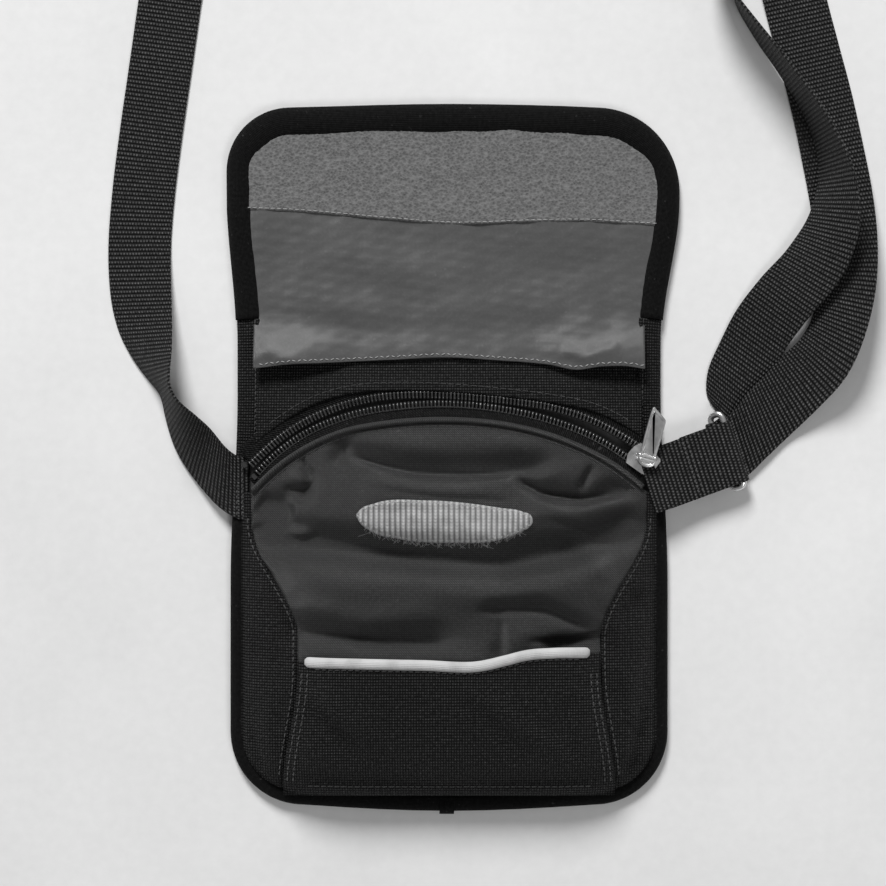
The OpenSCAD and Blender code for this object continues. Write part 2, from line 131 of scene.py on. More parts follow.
def ripples(x, y, size, seed):
    """Smooth, uneven waves of about that size, from -1 to 1."""
    rng = np.random.default_rng(seed)
    total = 0
    for _ in range(9):
        bearing, phase = rng.uniform(0, 2 * math.pi, 2)
        k = 2 * math.pi / (size * rng.uniform(0.7, 1.8))
        total = total + np.sin(k * (x * math.cos(bearing) + y * math.sin(bearing)) + phase)
    return total / 4


def stroke(x, y, path, amount, above, below, fade=10):
    """Height of a fold drawn along a path: it falls off over above on its left and below on its right."""
    best = np.full(np.shape(x), 1e9)
    side = np.zeros(np.shape(x))
    along = np.zeros(np.shape(x))
    run = 0
    for (px, py), (qx, qy) in zip(path, path[1:]):
        dx, dy = qx - px, qy - py
        length = math.hypot(dx, dy)
        t = np.clip(((x - px) * dx + (y - py) * dy) / length**2, 0, 1)
        ox, oy = x - px - t * dx, y - py - t * dy
        far = np.hypot(ox, oy)
        near = far < best
        best = np.where(near, far, best)
        side = np.where(near, dx * oy - dy * ox, side)
        along = np.where(near, run + t * length, along)
        run += length
    taper = ease(0.25 + np.minimum(along, run - along) / fade)
    return amount * taper * np.exp(-((best / np.where(side > 0, above, below)) ** 2))


# ---- meshes ----


def piece(name, verts, faces, material, flat=None):
    """A mesh object from points in millimetres. flat gives each point's place on the flat cloth."""
    mesh = bpy.data.meshes.new(name)
    mesh.from_pydata((np.asarray(verts, float) * MM).tolist(), [], faces)
    if flat is not None:
        layer = mesh.uv_layers.new(name="flat")
        corner = np.zeros(len(mesh.loops), int)
        mesh.loops.foreach_get("vertex_index", corner)
        layer.data.foreach_set("uv", (np.asarray(flat, float) * MM)[corner].ravel())
    mesh.polygons.foreach_set("use_smooth", [True] * len(mesh.polygons))
    mesh.materials.append(material)
    mesh.update()
    obj = bpy.data.objects.new(name, mesh)
    bpy.context.scene.collection.objects.link(obj)
    return obj


def stand_for(obj, node, body):
    """obj stands for a CAD node and rides on its body."""
    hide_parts(node)
    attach(obj, body)


def grid_faces(m, n, wrap=False):
    last = n if wrap else n - 1
    return [(i * n + j, i * n + (j + 1) % n, (i + 1) * n + (j + 1) % n, (i + 1) * n + j)
            for i in range(m - 1) for j in range(last)]


def cloth(name, x, y, z, thick, material, flat=None):
    """A sheet of cloth from grids of coordinates, with real thickness under its face."""
    verts = np.stack([x, y, z], -1).reshape(-1, 3)
    uv = np.stack([x, y], -1).reshape(-1, 2) if flat is None else flat
    obj = piece(name, verts, grid_faces(*x.shape), material, uv)
    solid = obj.modifiers.new("thickness", "SOLIDIFY")
    solid.thickness, solid.offset = thick * MM, -1
    return obj


def unrolled(around, run):
    """Place on the flat cloth of each point of a loft."""
    return np.stack(np.broadcast_arrays(around[None, :], run[:, None]), -1).reshape(-1, 2)


def run_along(path):
    """How far along a path each of its points is."""
    return np.concatenate([[0], np.cumsum(np.linalg.norm(np.diff(path, axis=0), axis=1))])


def loft(name, rings, material, flat=None):
    """A closed solid through rings of points."""
    rings = np.array(rings, float)
    m, n = rings.shape[:2]
    faces = grid_faces(m, n, wrap=True)
    faces += [tuple(range(n - 1, -1, -1)), tuple((m - 1) * n + j for j in range(n))]
    return piece(name, rings.reshape(-1, 3), faces, material, flat)


def sweep(path, sideways, profile):
    """Rings along a path: profile holds (along sideways, up) pairs, sideways one level vector a point."""
    return [[(p[0] + s[0] * a, p[1] + s[1] * a, p[2] + b) for a, b in profile]
            for p, s in zip(path, sideways)]


def normals(path):
    """Level vectors to the left of a path."""
    t = np.gradient(np.array(path, float)[:, :2], axis=0)
    t /= np.linalg.norm(t, axis=1)[:, None]
    return np.stack([-t[:, 1], t[:, 0]], 1)


def cord_rings(path, radius, sides=8):
    """Rings of a round cord along a path."""
    left = normals(path)
    around = [math.radians(360 * k / sides) for k in range(sides)]
    return sweep(path, left, [(radius * math.cos(a), radius * math.sin(a)) for a in around])


def sewn_line(name, path, material, pitch=2.6, share=0.72, radius=0.22, sink=0.12, zigzag=0.0):
    """A row of stitches: short threads that rise out of the cloth and dive back in."""
    places = resample(path, pitch)
    verts, faces = [], []
    for i, (a, b) in enumerate(zip(places, places[1:])):
        d = b - a
        side = np.array([-d[1], d[0], 0]) / (np.linalg.norm(d[:2]) + 1e-9)
        lean = zigzag * (1 if i % 2 else -1)
        for t, size, drop in ((0, 0.55, -sink), (0.25, 1, 0.6), (0.75, 1, 0.6), (1, 0.55, -sink)):
            c = a + d * mix((1 - share) / 2, (1 + share) / 2, t) + side * lean * (2 * t - 1)
            r = radius * size
            verts += [c + side * r * sa + np.array([0, 0, r * ca + drop * radius])
                      for sa, ca in ((-1, 0), (0, 1), (1, 0), (0, -1))]
        base = 16 * i
        faces += [(base + 4 * k + j, base + 4 * k + 4 + j, base + 4 * k + 4 + (j + 1) % 4,
                   base + 4 * k + (j + 1) % 4) for k in range(3) for j in range(4)]
        faces += [(base, base + 1, base + 2, base + 3), (base + 15, base + 14, base + 13, base + 12)]
    return piece(name, verts, faces, material)


def join(name, objects):
    """One object from several, with a single mesh."""
    with bpy.context.temp_override(active_object=objects[0], selected_editable_objects=objects):
        bpy.ops.object.join()
    objects[0].name = name
    return objects[0]


# ---- materials ----

class Finish:
    """A procedural material on the standard shader. Keyword values go straight to its sockets."""

    def __init__(self, name, **sockets):
        self.material = bpy.data.materials.new(name)
        self.material.use_nodes = True
        self.tree = self.material.node_tree
        self.shader = self.tree.nodes["Principled BSDF"]
        for key, value in sockets.items():
            self.shader.inputs[key.replace("_", " ").title().replace("Ior", "IOR")].default_value = value

    def node(self, kind, inputs=(), **settings):
        made = self.tree.nodes.new("ShaderNode" + kind)
        for key, value in settings.items():
            setattr(made, key, value)
        for key, value in dict(inputs).items():
            if isinstance(value, bpy.types.NodeSocket):
                self.tree.links.new(value, made.inputs[key])
            else:
                made.inputs[key].default_value = value
        return made

    def math(self, operation, *values):
        return self.node("Math", dict(enumerate(values)), operation=operation).outputs[0]

    def wave(self, value):
        return self.math("ABSOLUTE", self.math("SINE", self.math("MULTIPLY", value, math.pi)))

    def place(self):
        """Where a point is on its flat cloth, in metres."""
        return self.node("UVMap", uv_map="flat").outputs[0]

    def solid_place(self):
        return self.node("TexCoord").outputs["Object"]

    def noise(self, place, scale, detail=3.0, roughness=0.55):
        return self.node("TexNoise", {"Vector": place, "Scale": scale, "Detail": detail,
                                      "Roughness": roughness}).outputs["Fac"]

    def cells(self, pitch_u, pitch_v, wobble=0.12):
        """Place on the cloth counted in threads, a little uneven."""
        place = self.place()
        uneven = self.node("TexNoise", {"Vector": place, "Scale": 90.0, "Detail": 2.0}).outputs["Color"]
        shift = self.node("VectorMath", {0: uneven, 1: (wobble * 2, wobble * 2, 0)}, operation="MULTIPLY")
        scaled = self.node("VectorMath", {0: place, 1: (1 / pitch_u, 1 / pitch_v, 0)},
                           operation="MULTIPLY")
        total = self.node("VectorMath", {0: scaled.outputs[0], 1: shift.outputs[0]}, operation="ADD")
        return total.outputs[0]

    def ramp(self, value, *stops):
        made = self.node("ValToRGB", {"Fac": value})
        band = made.color_ramp
        while len(band.elements) < len(stops):
            band.elements.new(0.5)
        for element, (at, tone) in zip(band.elements, stops):
            element.position = at
            element.color = (*((tone,) * 3 if isinstance(tone, float) else tone), 1)
        return made.outputs["Color"]

    def colour(self, socket):
        self.tree.links.new(socket, self.shader.inputs["Base Color"])

    def rough(self, socket, low, high):
        spread = self.node("MapRange", {"Value": socket, "To Min": low, "To Max": high}).outputs[0]
        self.tree.links.new(spread, self.shader.inputs["Roughness"])

    def bump(self, *heights):
        """Heights are (socket, metres) pairs, each laid over the one before."""
        below = None
        for socket, metres in heights:
            made = self.node("Bump", {"Height": socket, "Strength": 1.0, "Distance": metres})
            if below is not None:
                self.tree.links.new(below, made.inputs["Normal"])
            below = made.outputs[0]
        self.tree.links.new(below, self.shader.inputs["Normal"])


def plain_weave(f, pitch_u, pitch_v):
    """Height of a plain weave: each thread rises over its neighbour in turn."""
    cells = f.cells(pitch_u, pitch_v)
    split = f.node("SeparateXYZ", {0: cells}).outputs
    across, down = f.wave(split[0]), f.wave(split[1])
    checker = f.node("TexChecker", {"Vector": cells, "Scale": 1.0}).outputs["Fac"]
    over = f.math("MULTIPLY", across, f.math("MULTIPLY_ADD", down, 0.6, 0.4))
    under = f.math("MULTIPLY", down, f.math("MULTIPLY_ADD", across, 0.6, 0.4))
    return f.node("Mix", {"Factor": checker, 2: over, 3: under}).outputs[0]


def twill_weave(f, pitch):
    split = f.node("SeparateXYZ", {0: f.cells(pitch, pitch)}).outputs
    slant = f.wave(f.math("ADD", split[0], split[1]))
    return f.math("MULTIPLY", slant, f.math("MULTIPLY_ADD", f.wave(split[1]), 0.45, 0.55))


def rib_weave(f, rib, thread):
    """Ribs across the width of a webbing, each made of short floats."""
    split = f.node("SeparateXYZ", {0: f.cells(thread, rib, 0.06)}).outputs
    row = f.math("FLOOR", split[1])
    offset = f.math("MULTIPLY", f.math("MODULO", row, 2.0), 0.5)
    ribs = f.wave(split[1])
    return f.math("MULTIPLY", ribs, f.math("MULTIPLY_ADD", f.wave(f.math("ADD", split[0], offset)),
                                           0.6, 0.4))


def woven(name, height, shaded_tone, lit_tone, depth, roughness, worn=0.35, fuzz=0.75, **sockets):
    """Cloth with patches of wear, its thread tops painted lighter as painted highlight and its gaps painted
    darker as painted shade.
    """
    f = Finish(name, roughness=roughness, **sockets)
    threads = height(f)
    patches = f.noise(f.place(), 24.0, 2.0)
    lint = f.ramp(f.noise(f.place(), 420.0, 1.0), (0.0, 0.0), (0.70, 0.0), (0.78, 1.0))
    # painted highlight on the thread tops and painted shade in the gaps between them, spread over the
    # cloth's own tone
    tone = f.ramp(threads, (0.15, shaded_tone), (0.6, mix(shaded_tone, lit_tone, 0.3)), (1.0, lit_tone))
    fibres = f.noise(f.place(), 760.0, 2.0)
    patchy = f.math("MULTIPLY", f.math("MULTIPLY_ADD", patches, 2 * worn, 1 - worn),
                    f.ramp(fibres, (0.3, 1 - fuzz), (0.5, 0.95), (0.72, 1 + fuzz)))
    tinted = f.node("VectorMath", {0: tone, 1: patchy}, operation="MULTIPLY").outputs[0]
    speck = f.node("Mix", {"Factor": f.math("MULTIPLY", lint, 0.10), 6: tinted, 7: (0.3, 0.3, 0.3, 1)},
                   data_type="RGBA").outputs[2]
    f.colour(speck)
    f.rough(patches, roughness - 0.08, roughness + 0.1)
    f.bump((patches, 0.0003), (threads, depth))
    return f.material


def canvas():
    return woven("canvas", lambda f: plain_weave(f, 0.00105, 0.00115), 0.0004, 0.046, 0.0012, 0.75,
                 sheen_weight=0.02, specular_ior_level=0.15)


def twill():
    return woven("twill", lambda f: twill_weave(f, 0.0009), 0.003, 0.075, 0.0003, 0.5,
                 worn=0.25, fuzz=0.35, sheen_weight=0.03, specular_ior_level=0.4)


def binding_tape():
    return woven("binding", lambda f: plain_weave(f, 0.0006, 0.0005), 0.0015, 0.008, 0.0002, 0.85,
                 sheen_weight=0.02, specular_ior_level=0.12)


def lining():
    return woven("lining", lambda f: twill_weave(f, 0.0005), 0.066, 0.10, 0.00006, 0.4,
                 worn=0.12, fuzz=0.08, sheen_weight=0.1, specular_ior_level=0.5)


def zip_tape():
    return woven("zip_tape", lambda f: twill_weave(f, 0.0011), 0.001, 0.02, 0.0004, 0.85,
                 specular_ior_level=0.12)


def webbing():
    return woven("webbing", lambda f: rib_weave(f, 0.0017, 0.0012), 0.0004, 0.09, 0.0014, 0.65,
                 worn=0.3, specular_ior_level=0.3)


def loop_pile():
    """Short fuzzy loops, painted lighter at their tips as painted highlight."""
    f = Finish("loop_pile", roughness=0.95, sheen_weight=0.15, specular_ior_level=0.1)
    place = f.place()
    fuzz = f.noise(place, 1500.0, 4.0, 0.7)
    tufts = f.node("TexVoronoi", {"Vector": place, "Scale": 900.0, "Randomness": 1.0}).outputs["Distance"]
    clumps = f.noise(place, 420.0, 3.0)
    fine = f.math("MULTIPLY_ADD", clumps, 0.5, f.math("MULTIPLY", fuzz, 0.5))
    total = f.math("MULTIPLY_ADD", tufts, 0.5, fine)
    # random clumps of tone, painted lighter where the pile stands higher as painted highlight and darker at
    # its base as painted shade
    f.colour(f.ramp(total, (0.35, 0.075), (0.65, 0.12), (0.95, 0.18)))
    f.bump((clumps, 0.0003), (total, 0.0006))
    return f.material


def hook_tape():
    """Stiff nylon hooks in rows."""
    f = Finish("hook_tape", roughness=0.55, sheen_weight=0.2, specular_ior_level=0.4)
    split = f.node("SeparateXYZ", {0: f.cells(0.0021, 0.0013, 0.05)}).outputs
    column = f.wave(split[0])
    slant = f.wave(f.math("MULTIPLY_ADD", column, 0.8, split[1]))
    hooks = f.math("MULTIPLY", column, f.math("MULTIPLY_ADD", slant, 0.28, 0.72))
    grime = f.noise(f.place(), 200.0, 4.0)
    # random grime, with the hooks' tops painted lighter as painted highlight and the gaps between rows
    # painted darker as painted shade
    f.colour(f.ramp(f.math("MULTIPLY_ADD", grime, 0.35, f.math("MULTIPLY", hooks, 0.75)),
                    (0.1, 0.13), (0.5, 0.30), (0.95, 0.52)))
    f.bump((hooks, 0.0007))
    return f.material


def pale_trim():
    f = Finish("pale_trim", roughness=0.6, sheen_weight=0.2)
    place = f.place()
    weave = plain_weave(f, 0.0006, 0.0006)
    grime = f.noise(place, 70.0, 5.0)
    f.colour(f.ramp(grime, (0.25, 0.36), (0.5, 0.56), (0.8, 0.66)))
    f.bump((weave, 0.00012))
    return f.material


def foam():
    f = Finish("foam", roughness=0.95)
    pores = f.node("TexVoronoi", {"Vector": f.solid_place(), "Scale": 900.0}).outputs["Distance"]
    # the pores painted darker in their hollows as painted shade
    f.colour(f.ramp(pores, (0.0, 0.05), (0.8, 0.12)))
    f.bump((pores, 0.0004))
    return f.material


def metal(name, tone, roughness, scratch):
    """Bare plated metal with fine scratches and dull patches."""
    f = Finish(name, metallic=1.0, base_color=(tone, tone, tone, 1), roughness=roughness)
    place = f.solid_place()
    patches = f.noise(place, 260.0, 5.0)
    stretched = f.node("Mapping", {"Vector": place, "Scale": (1.0, 9.0, 3.0)}).outputs[0]
    lines = f.noise(stretched, 900.0, 3.0)
    f.colour(f.ramp(patches, (0.3, tone * 0.72), (0.65, tone)))
    f.rough(f.math("MULTIPLY_ADD", lines, 0.5, f.math("MULTIPLY", patches, 0.5)), roughness - 0.08,
            roughness + 0.2)
    f.bump((patches, scratch), (lines, scratch * 0.5))
    return f.material


def plastic(name, tone, roughness):
    """Moulded plastic with a fine grain and dull wear."""
    f = Finish(name, roughness=roughness, specular_ior_level=0.5)
    place = f.solid_place()
    grain, patches = f.noise(place, 2600.0, 2.0), f.noise(place, 120.0, 4.0)
    f.colour(f.ramp(patches, (0.3, tone), (0.75, tone * 1.7)))
    f.rough(patches, roughness - 0.08, roughness + 0.12)
    f.bump((grain, 0.00005))
    return f.material


def thread(name, tone):
    f = Finish(name, roughness=0.7, sheen_weight=0.3)
    twist = f.noise(f.solid_place(), 3000.0, 2.0)
    f.colour(f.ramp(twist, (0.3, tone * 0.6), (0.7, tone * 1.3)))
    f.bump((twist, 0.0001))
    return f.material


def floor_finish():
    f = Finish("floor", roughness=0.85, specular_ior_level=0.2)
    broad, fine = f.noise(f.solid_place(), 9.0, 6.0), f.noise(f.solid_place(), 220.0, 3.0)
    f.colour(f.ramp(f.math("MULTIPLY_ADD", broad, 0.7, f.math("MULTIPLY", fine, 0.3)),
                    (0.3, 0.70), (0.7, 0.80)))
    return f.material


CANVAS, TWILL, BINDING, LINING = canvas(), twill(), binding_tape(), lining()
ZIP_TAPE, WEBBING, LOOP, HOOK = zip_tape(), webbing(), loop_pile(), hook_tape()
TRIM, FOAM = pale_trim(), foam()
STEEL, BRIGHT = metal("slider_metal", 0.88, 0.26, 0.00003), metal("ring_metal", 0.9, 0.24, 0.00003)
COIL, BLACK_PLASTIC = plastic("zip_coil", 0.022, 0.2), plastic("adjuster_plastic", 0.01, 0.4)
THREAD, PALE_THREAD = thread("thread", 0.014), thread("pale_thread", 0.4)


# ---- outlines ----

def body_half_at(y):
    return mix(BODY_HALF, NECK_HALF, ease((y + 50) / 75))


def flap_shift(y):
    """The flap leans a little to the right."""
    return 1.6 * ease((y - FLAP_START) / 55)


def corner_arc(cx, cy, r, start, stop, n=14):
    turn = np.radians(np.linspace(start, stop, n))
    return [(cx + r * math.cos(a), cy + r * math.sin(a)) for a in turn]


def flap_side(sign, low):
    """One edge of the flap and neck, from low up to its corner."""
    return [(sign * (body_half_at(y) if y < FLAP_START else mix(NECK_HALF, FLAP_HALF,
                                                                  ease((y - FLAP_START) / 58))), y)
            for y in np.arange(low, 102, 4.0)]


def whole_outline():
    """From the left side seam up, round the flap and down to the right side seam."""
    tip = [(x, FLAP_REACH + 1.4 * math.cos(math.radians(90 * x / 60))) for x in range(-45, 50, 15)]
    points = (flap_side(-1, SEAM_Y)
              + corner_arc(LEFT_CORNER - FLAP_HALF, FLAP_REACH - LEFT_CORNER, LEFT_CORNER, 180, 90)
              + tip
              + corner_arc(FLAP_HALF - RIGHT_CORNER, FLAP_REACH - RIGHT_CORNER, RIGHT_CORNER, 90, 0)
              + flap_side(1, SEAM_Y)[::-1])
    path = resample(points, 2.0)
    path[:, 0] += flap_shift(path[:, 1])
    return path


def body_outline():
    """From the right side seam down, round the bottom and up to the left side seam."""
    c, low = BODY_HALF - BOTTOM_CORNER, BOTTOM_CORNER - BOTTOM_REACH
    right = [(body_half_at(y), y) for y in np.arange(SEAM_Y, low + 3, -6.0)]
    bottom = [(x, -BOTTOM_REACH - 2.5 * math.cos(math.radians(90 * x / c))) for x in range(42, -45, -14)]
    points = (right + corner_arc(c, low, BOTTOM_CORNER, 0, -90) + bottom
              + corner_arc(-c, low, BOTTOM_CORNER, -90, -180) + [(-x, y) for x, y in right[::-1]])
    return resample(points, 2.0)


OUTLINE = whole_outline()


def edge_x(y, sign):
    """Where the outline is at height y, on the left (-1) or right (1)."""
    if y < SEAM_Y:
        low = BOTTOM_CORNER - BOTTOM_REACH
        drop = np.clip((low - y) / BOTTOM_CORNER, 0, 0.98)
        return sign * (body_half_at(y) - BOTTOM_CORNER * (1 - math.sqrt(1 - drop**2)))
    half = OUTLINE[OUTLINE[:, 0] * sign > 0]
    order = np.argsort(half[:, 1])
    return float(np.interp(y, half[order, 1], half[order, 0]))


def between_edges(low, high, rows, columns, inset, low_edge=None):
    """A grid over the plan from y low to y high, inset at both sides. low_edge is a curve of x."""
    v = np.linspace(0, 1, rows)[:, None]
    u = np.linspace(0, 1, columns)[None, :]
    y = mix(low, high, v) + 0 * u
    left = np.array([edge_x(a, -1) for a in y[:, 0]])[:, None] + inset
    right = np.array([edge_x(a, 1) for a in y[:, 0]])[:, None] - inset
    x = mix(left, right, u)
    bottom = y * 0 + low if low_edge is None else low_edge(x)
    return x, mix(bottom, high, v + 0 * x)


# ---- edges bound with tape ----

PLUMP = [(0.9, 0.3), (0.1, 1.1), (-0.4, 2.5), (0.0, 4.0), (1.2, 5.2), (3.2, 6.0), (5.4, 6.1), (7.4, 5.6),
         (8.8, 4.8), (9.5, 4.0), (9.1, 3.2), (8.9, 1.4), (5.0, 0.2)]
BAND = [(0.8, 0.3), (0.3, 1.0), (0.1, 2.2), (0.4, 3.4), (1.4, 4.4), (3.2, 4.9), (5.2, 5.2), (7.4, 5.5),
        (8.8, 5.7), (9.4, 5.0), (8.8, 3.6), (8.5, 1.4), (4.0, 0.2)]
NARROW = [(0.6, 0.3), (0.0, 1.0), (-0.2, 2.2), (0.1, 3.6), (0.9, 4.5), (2.2, 5.0), (3.8, 5.2), (5.2, 5.0),
          (6.0, 4.4), (6.1, 3.4), (5.8, 1.6), (3.0, 0.2)]


def bound(name, path, profile, material):
    """A tape folded over an edge that has its cloth on the path's right."""
    side = -normals(path)
    run = np.arange(len(path)) * 2.0
    swell = 1 + 0.05 * ripples(run, run * 0, 38, 3)
    profile = np.array(profile)
    broad = 1 + 0.24 * ease((path[:, 1] - 118) / 14)
    rings = [[(x + s[0] * a * wider, y + s[1] * a * wider, max(0.05, b * k if b > 2 else b))
              for a, b in profile] for (x, y), s, k, wider in zip(path, side, swell, broad)]
    rings = np.array(rings)
    rings[:, 3:8, 2] += 0.15 * ripples(run, run * 0, 12, 5)[:, None]
    around = run_along(profile)
    flat = unrolled(around, run)
    return loft(name, rings, material, flat)


def edges():
    flap = OUTLINE[OUTLINE[:, 1] > BAND_TOP]
    binding = bound("flap_edge", flap, PLUMP, BINDING)
    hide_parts("flap_binding")
    bend(binding)
    for sign, name in ((-1, "left"), (1, "right")):
        half = OUTLINE[(OUTLINE[:, 0] * sign > 0) & (OUTLINE[:, 1] < BAND_TOP + 3.5)]
        band = bound("band_" + name, half, BAND, CANVAS)
        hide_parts("side_band_" + name)
        bend(band)
        inner = half + normals(half) * -7.6
        line = sewn_line("band_stitches_" + name, with_height(inner, 5.55), THREAD, 2.4)
        bend(line)
    body = bound("body_edge", body_outline(), NARROW, BINDING)
    stand_for(body, "body_binding", "bag")


def with_height(path, z):
    return np.column_stack([path, np.full(len(path), z)])


def bend(obj):
    """Cloth that crosses the fold at the neck: its place is baked into its mesh, with no bending."""
    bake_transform(obj)


def bar_tack():
    """The binding's two ends, lapped and sewn down at the bottom."""
    y = -BOTTOM_REACH - 2.5
    x = np.linspace(-3.6, 2.2, 14)[None, :] + np.zeros((10, 1))
    v = np.linspace(0, 1, 10)[:, None] + 0 * x
    height = 5.7 * np.sqrt(np.clip(1 - (2 * v - 0.9) ** 2 / 1.3, 0, 1))
    lap = cloth("binding_lap", x + 0.5 * (v - 0.5), y - 1.2 + 8.0 * v, np.maximum(height, 0.2), 0.7,
                BINDING)
    stand_for(lap, "binding_end", "bag")


# ---- the front ----

def seam_x(y):
    return np.where(y > -71, mix(59.6, 78.4, ease((y + 71) / 45)), 59.6 + 6.4 * ease((-83 - y) / 50))


def side_limit(y):
    return np.where(y > -109.5, 81.6, 58 + np.sqrt(np.maximum(0, 23.6**2 - (-109.5 - y) ** 2)))


def arch_angle(x):
    return np.degrees(np.arcsin(np.clip((x - ARCH[0]) / 124, -0.9, 0.9)))


def on_arch(r, a):
    a = np.radians(a)
    return ARCH[0] + r * np.sin(a), ARCH[1] + r * np.cos(a)


def arch_y_at(x, radius):
    """Height of an uneven arc above x, where radius is a function of the angle."""
    return ARCH[1] + np.sqrt(radius(arch_angle(x)) ** 2 - (x - ARCH[0]) ** 2)


def welt_radius(a):
    return spline(a, [(-45, 117.6), (-32, 119.6), (-22, 119.4), (-12, 117.2), (-2, 115.9), (13, 115.9),
                      (22, 116.4), (30, 116.8), (42, 116.6)])


def lower_coil(a):
    return spline(a, [(-40, 122.4), (-34, 124.2), (-28, 125.2), (-19, 124.8), (-10, 123.4), (-2, 122.6),
                      (9, 122), (18, 122.3), (28, 122.8), (36, 122.5), (40, 122.4)])


def upper_coil(a):
    return spline(a, [(-40, 126.4), (-30, 128.9), (-20, 129.3), (-13, 128.4), (-6, 126.8), (-1, 125.8),
                      (5, 125.3), (11, 125.7), (18, 127.2), (26, 128.3), (33, 128.5), (40, 128.4)])


def yoke_edge(a):
    return spline(a, [(-45, 131), (-34, 133.4), (-26, 134.2), (-18, 132.6), (-9, 129.4), (0, 127.2),
                      (9, 127), (18, 129), (27, 132), (36, 132.6), (45, 131)])


def plain_front(x, y):
    """Outer face of the front before its folds, as in the CAD."""
    bottom = dome((y + 134.5) / 45)
    side = dome((side_limit(y) - np.abs(x)) / 38)
    rise = mix(ARCH_RISE / FRONT_RISE, 1, np.sin(np.radians(90 * np.clip(
        (WELT_R - np.hypot(x - ARCH[0], y - ARCH[1])) / 75, 0, 1))))
    return BASE_Z + FRONT_RISE * bottom * side * rise


# Folds of the front: path, height, reach above and below it, length of its tapered ends
FRONT_FOLDS = [
    ([(-44, 3), (-28, -2), (-12, -5.4), (6, -6), (22, -5.4), (44, -2.4)], -2.3, 6.5, 2.6, 16),
    ([(-40, 7), (-12, 4), (22, 4.4), (42, 2)], 1.0, 5, 6, 16),
    ([(-38, -9), (-14, -12.5), (16, -13.5)], 1.5, 3.2, 7, 20),
    ([(-43, 9), (-42, 2), (-46, -4)], -1.6, 3, 3.5, 6),
    ([(-59.4, 1.5), (-52.8, -9.4)], -1.5, 1.2, 2.4, 5),
    ([(-62, -1), (-56, -11.5)], 1.1, 2.6, 2.6, 6),
    ([(-53, -11.5), (-58, -14.5), (-66, -12)], -1.4, 3, 3, 8),
    ([(24, -7), (36, -14), (52, -16.6), (76, -11.4)], -2.4, 5, 2.8, 12),
    ([(30, -17), (46, -22), (70, -18)], 1.6, 3.2, 6, 16),
    ([(57, -2.4), (51, -13)], -1.4, 2.2, 1.2, 5),
    ([(-76, -17), (-70, -20), (-60, -20)], -2.6, 5.5, 5.5, 8),
    ([(-80, -24), (-68, -30), (-52, -31)], 1.7, 2.6, 4, 10),
    ([(-80, -28), (-58, -33), (-20, -38.5), (20, -42), (46, -37), (78, -26)], -4.6, 7.5, 6.5, 14),
    ([(-70, -45), (-30, -50), (20, -51), (66, -43)], 2.0, 7, 11, 20),
    ([(10, -60), (22, -58), (36, -58), (58, -68)], -1.9, 3.2, 6, 12),
    ([(-60, -58), (-30, -63), (0, -61)], 0.9, 5, 5, 16),
    ([(-64, -67), (-36, -71), (4, -72)], -2.0, 6, 3.5, 14),
    ([(20.5, -63), (20, -80)], -0.9, 2.2, 3.2, 6),
    ([(36, -76), (62, -72)], -2.8, 4.5, 6, 8),
    ([(-62, -76), (-30, -79), (20, -80)], 0.8, 4, 3, 14),
    ([(50, -30), (62, -48), (60, -60)], 1.1, 5, 4, 12),
    ([(-40, 1), (-26, -3.4), (-12, -6.6), (8, -7.2), (24, -6.4)], -0.9, 1.0, 1.6, 12),
    ([(25, -7.6), (37, -14.8), (54, -17.4), (70, -14)], -1.1, 1.6, 0.9, 8),
    ([(-52, -9.8), (-58, -13), (-65, -12.4)], -0.8, 1.0, 1.4, 5),
    ([(-79, -26.5), (-66, -31.5), (-40, -35)], -0.9, 1.0, 1.6, 10),
    ([(12, -60.4), (24, -59.2), (38, -60), (56, -68)], -0.9, 1.0, 1.5, 10),
    ([(-58, -69), (-30, -72.4), (0, -73.4)], -0.8, 1.2, 1.6, 12),
    ([(-30, -12), (-6, -15.4), (22, -17)], -0.5, 1.2, 1.6, 12),
    ([(38, -24), (56, -30), (72, -29)], -0.8, 1.8, 1.4, 10),
    ([(-74, -40), (-66, -58), (-60, -72)], -0.7, 1.6, 1.6, 10),
    ([(30, -72), (48, -72.5), (60, -69)], -0.7, 1.2, 1.6, 8),
]

GUSSET_FOLDS = [
    ([(-80, -30), (-72, -52), (-61, -68)], 1.0, 3.5, 3, 10),
    ([(-84, -60), (-76, -76), (-62, -84)], -1.4, 4, 4, 10),
    ([(-82, -84), (-79, -108), (-74, -130)], -1.6, 2.2, 3.4, 10),
    ([(-70, -86), (-72, -108), (-68, -126)], 0.9, 3.5, 3.5, 12),
    ([(80, -34), (70, -56), (62, -70)], 1.2, 3.5, 3.5, 10),
    ([(82, -72), (78, -100), (72, -128)], -1.6, 3.4, 2.2, 10),
    ([(70, -80), (72, -104), (68, -124)], 0.9, 3.5, 3.5, 12),
    ([(78, -50), (66, -66)], -1.0, 3, 3, 8),
]


# How deep the folds of the front and gussets are, as a share of their listed heights
FOLD_GAIN = 2.2


def folds(x, y, strokes):
    return sum(stroke(x, y, *s) for s in strokes)


def front_height(x, y):
    """Outer face of the front and gussets with their folds, held down at the seams."""
    loose = ease((welt_radius(arch_angle(x)) - np.hypot(x - ARCH[0], y - ARCH[1]) + 1) / 7)
    loose = loose * ease((side_limit(y) - np.abs(x)) / 5) * ease((y + 133) / 12)
    seam = np.exp(-(((np.abs(x) - seam_x(y)) / 1.1) ** 2)) * ease((-16 - y) / 10)
    wrinkles = 0.30 * ripples(x * 0.55, y, 13, 11) + 0.14 * ripples(x, y, 5.5, 12)
    shape = folds(x, y, FRONT_FOLDS) + 0.55 * folds(x, y, GUSSET_FOLDS) + 0.6 * wrinkles
    plain = plain_front(x, y)
    return plain + np.maximum(loose * FOLD_GAIN * shape, -0.7 * np.maximum(plain - 5.4, 0)) - 0.9 * seam


def front_grid(rows, columns):
    v = np.linspace(0, 1, rows)[:, None]
    s = np.linspace(-1, 1, columns)[None, :]
    y = mix(FRONT_LOW, arch_y_at(78.4 * s, welt_radius), v)
    x = seam_x(y) * s
    return x, y


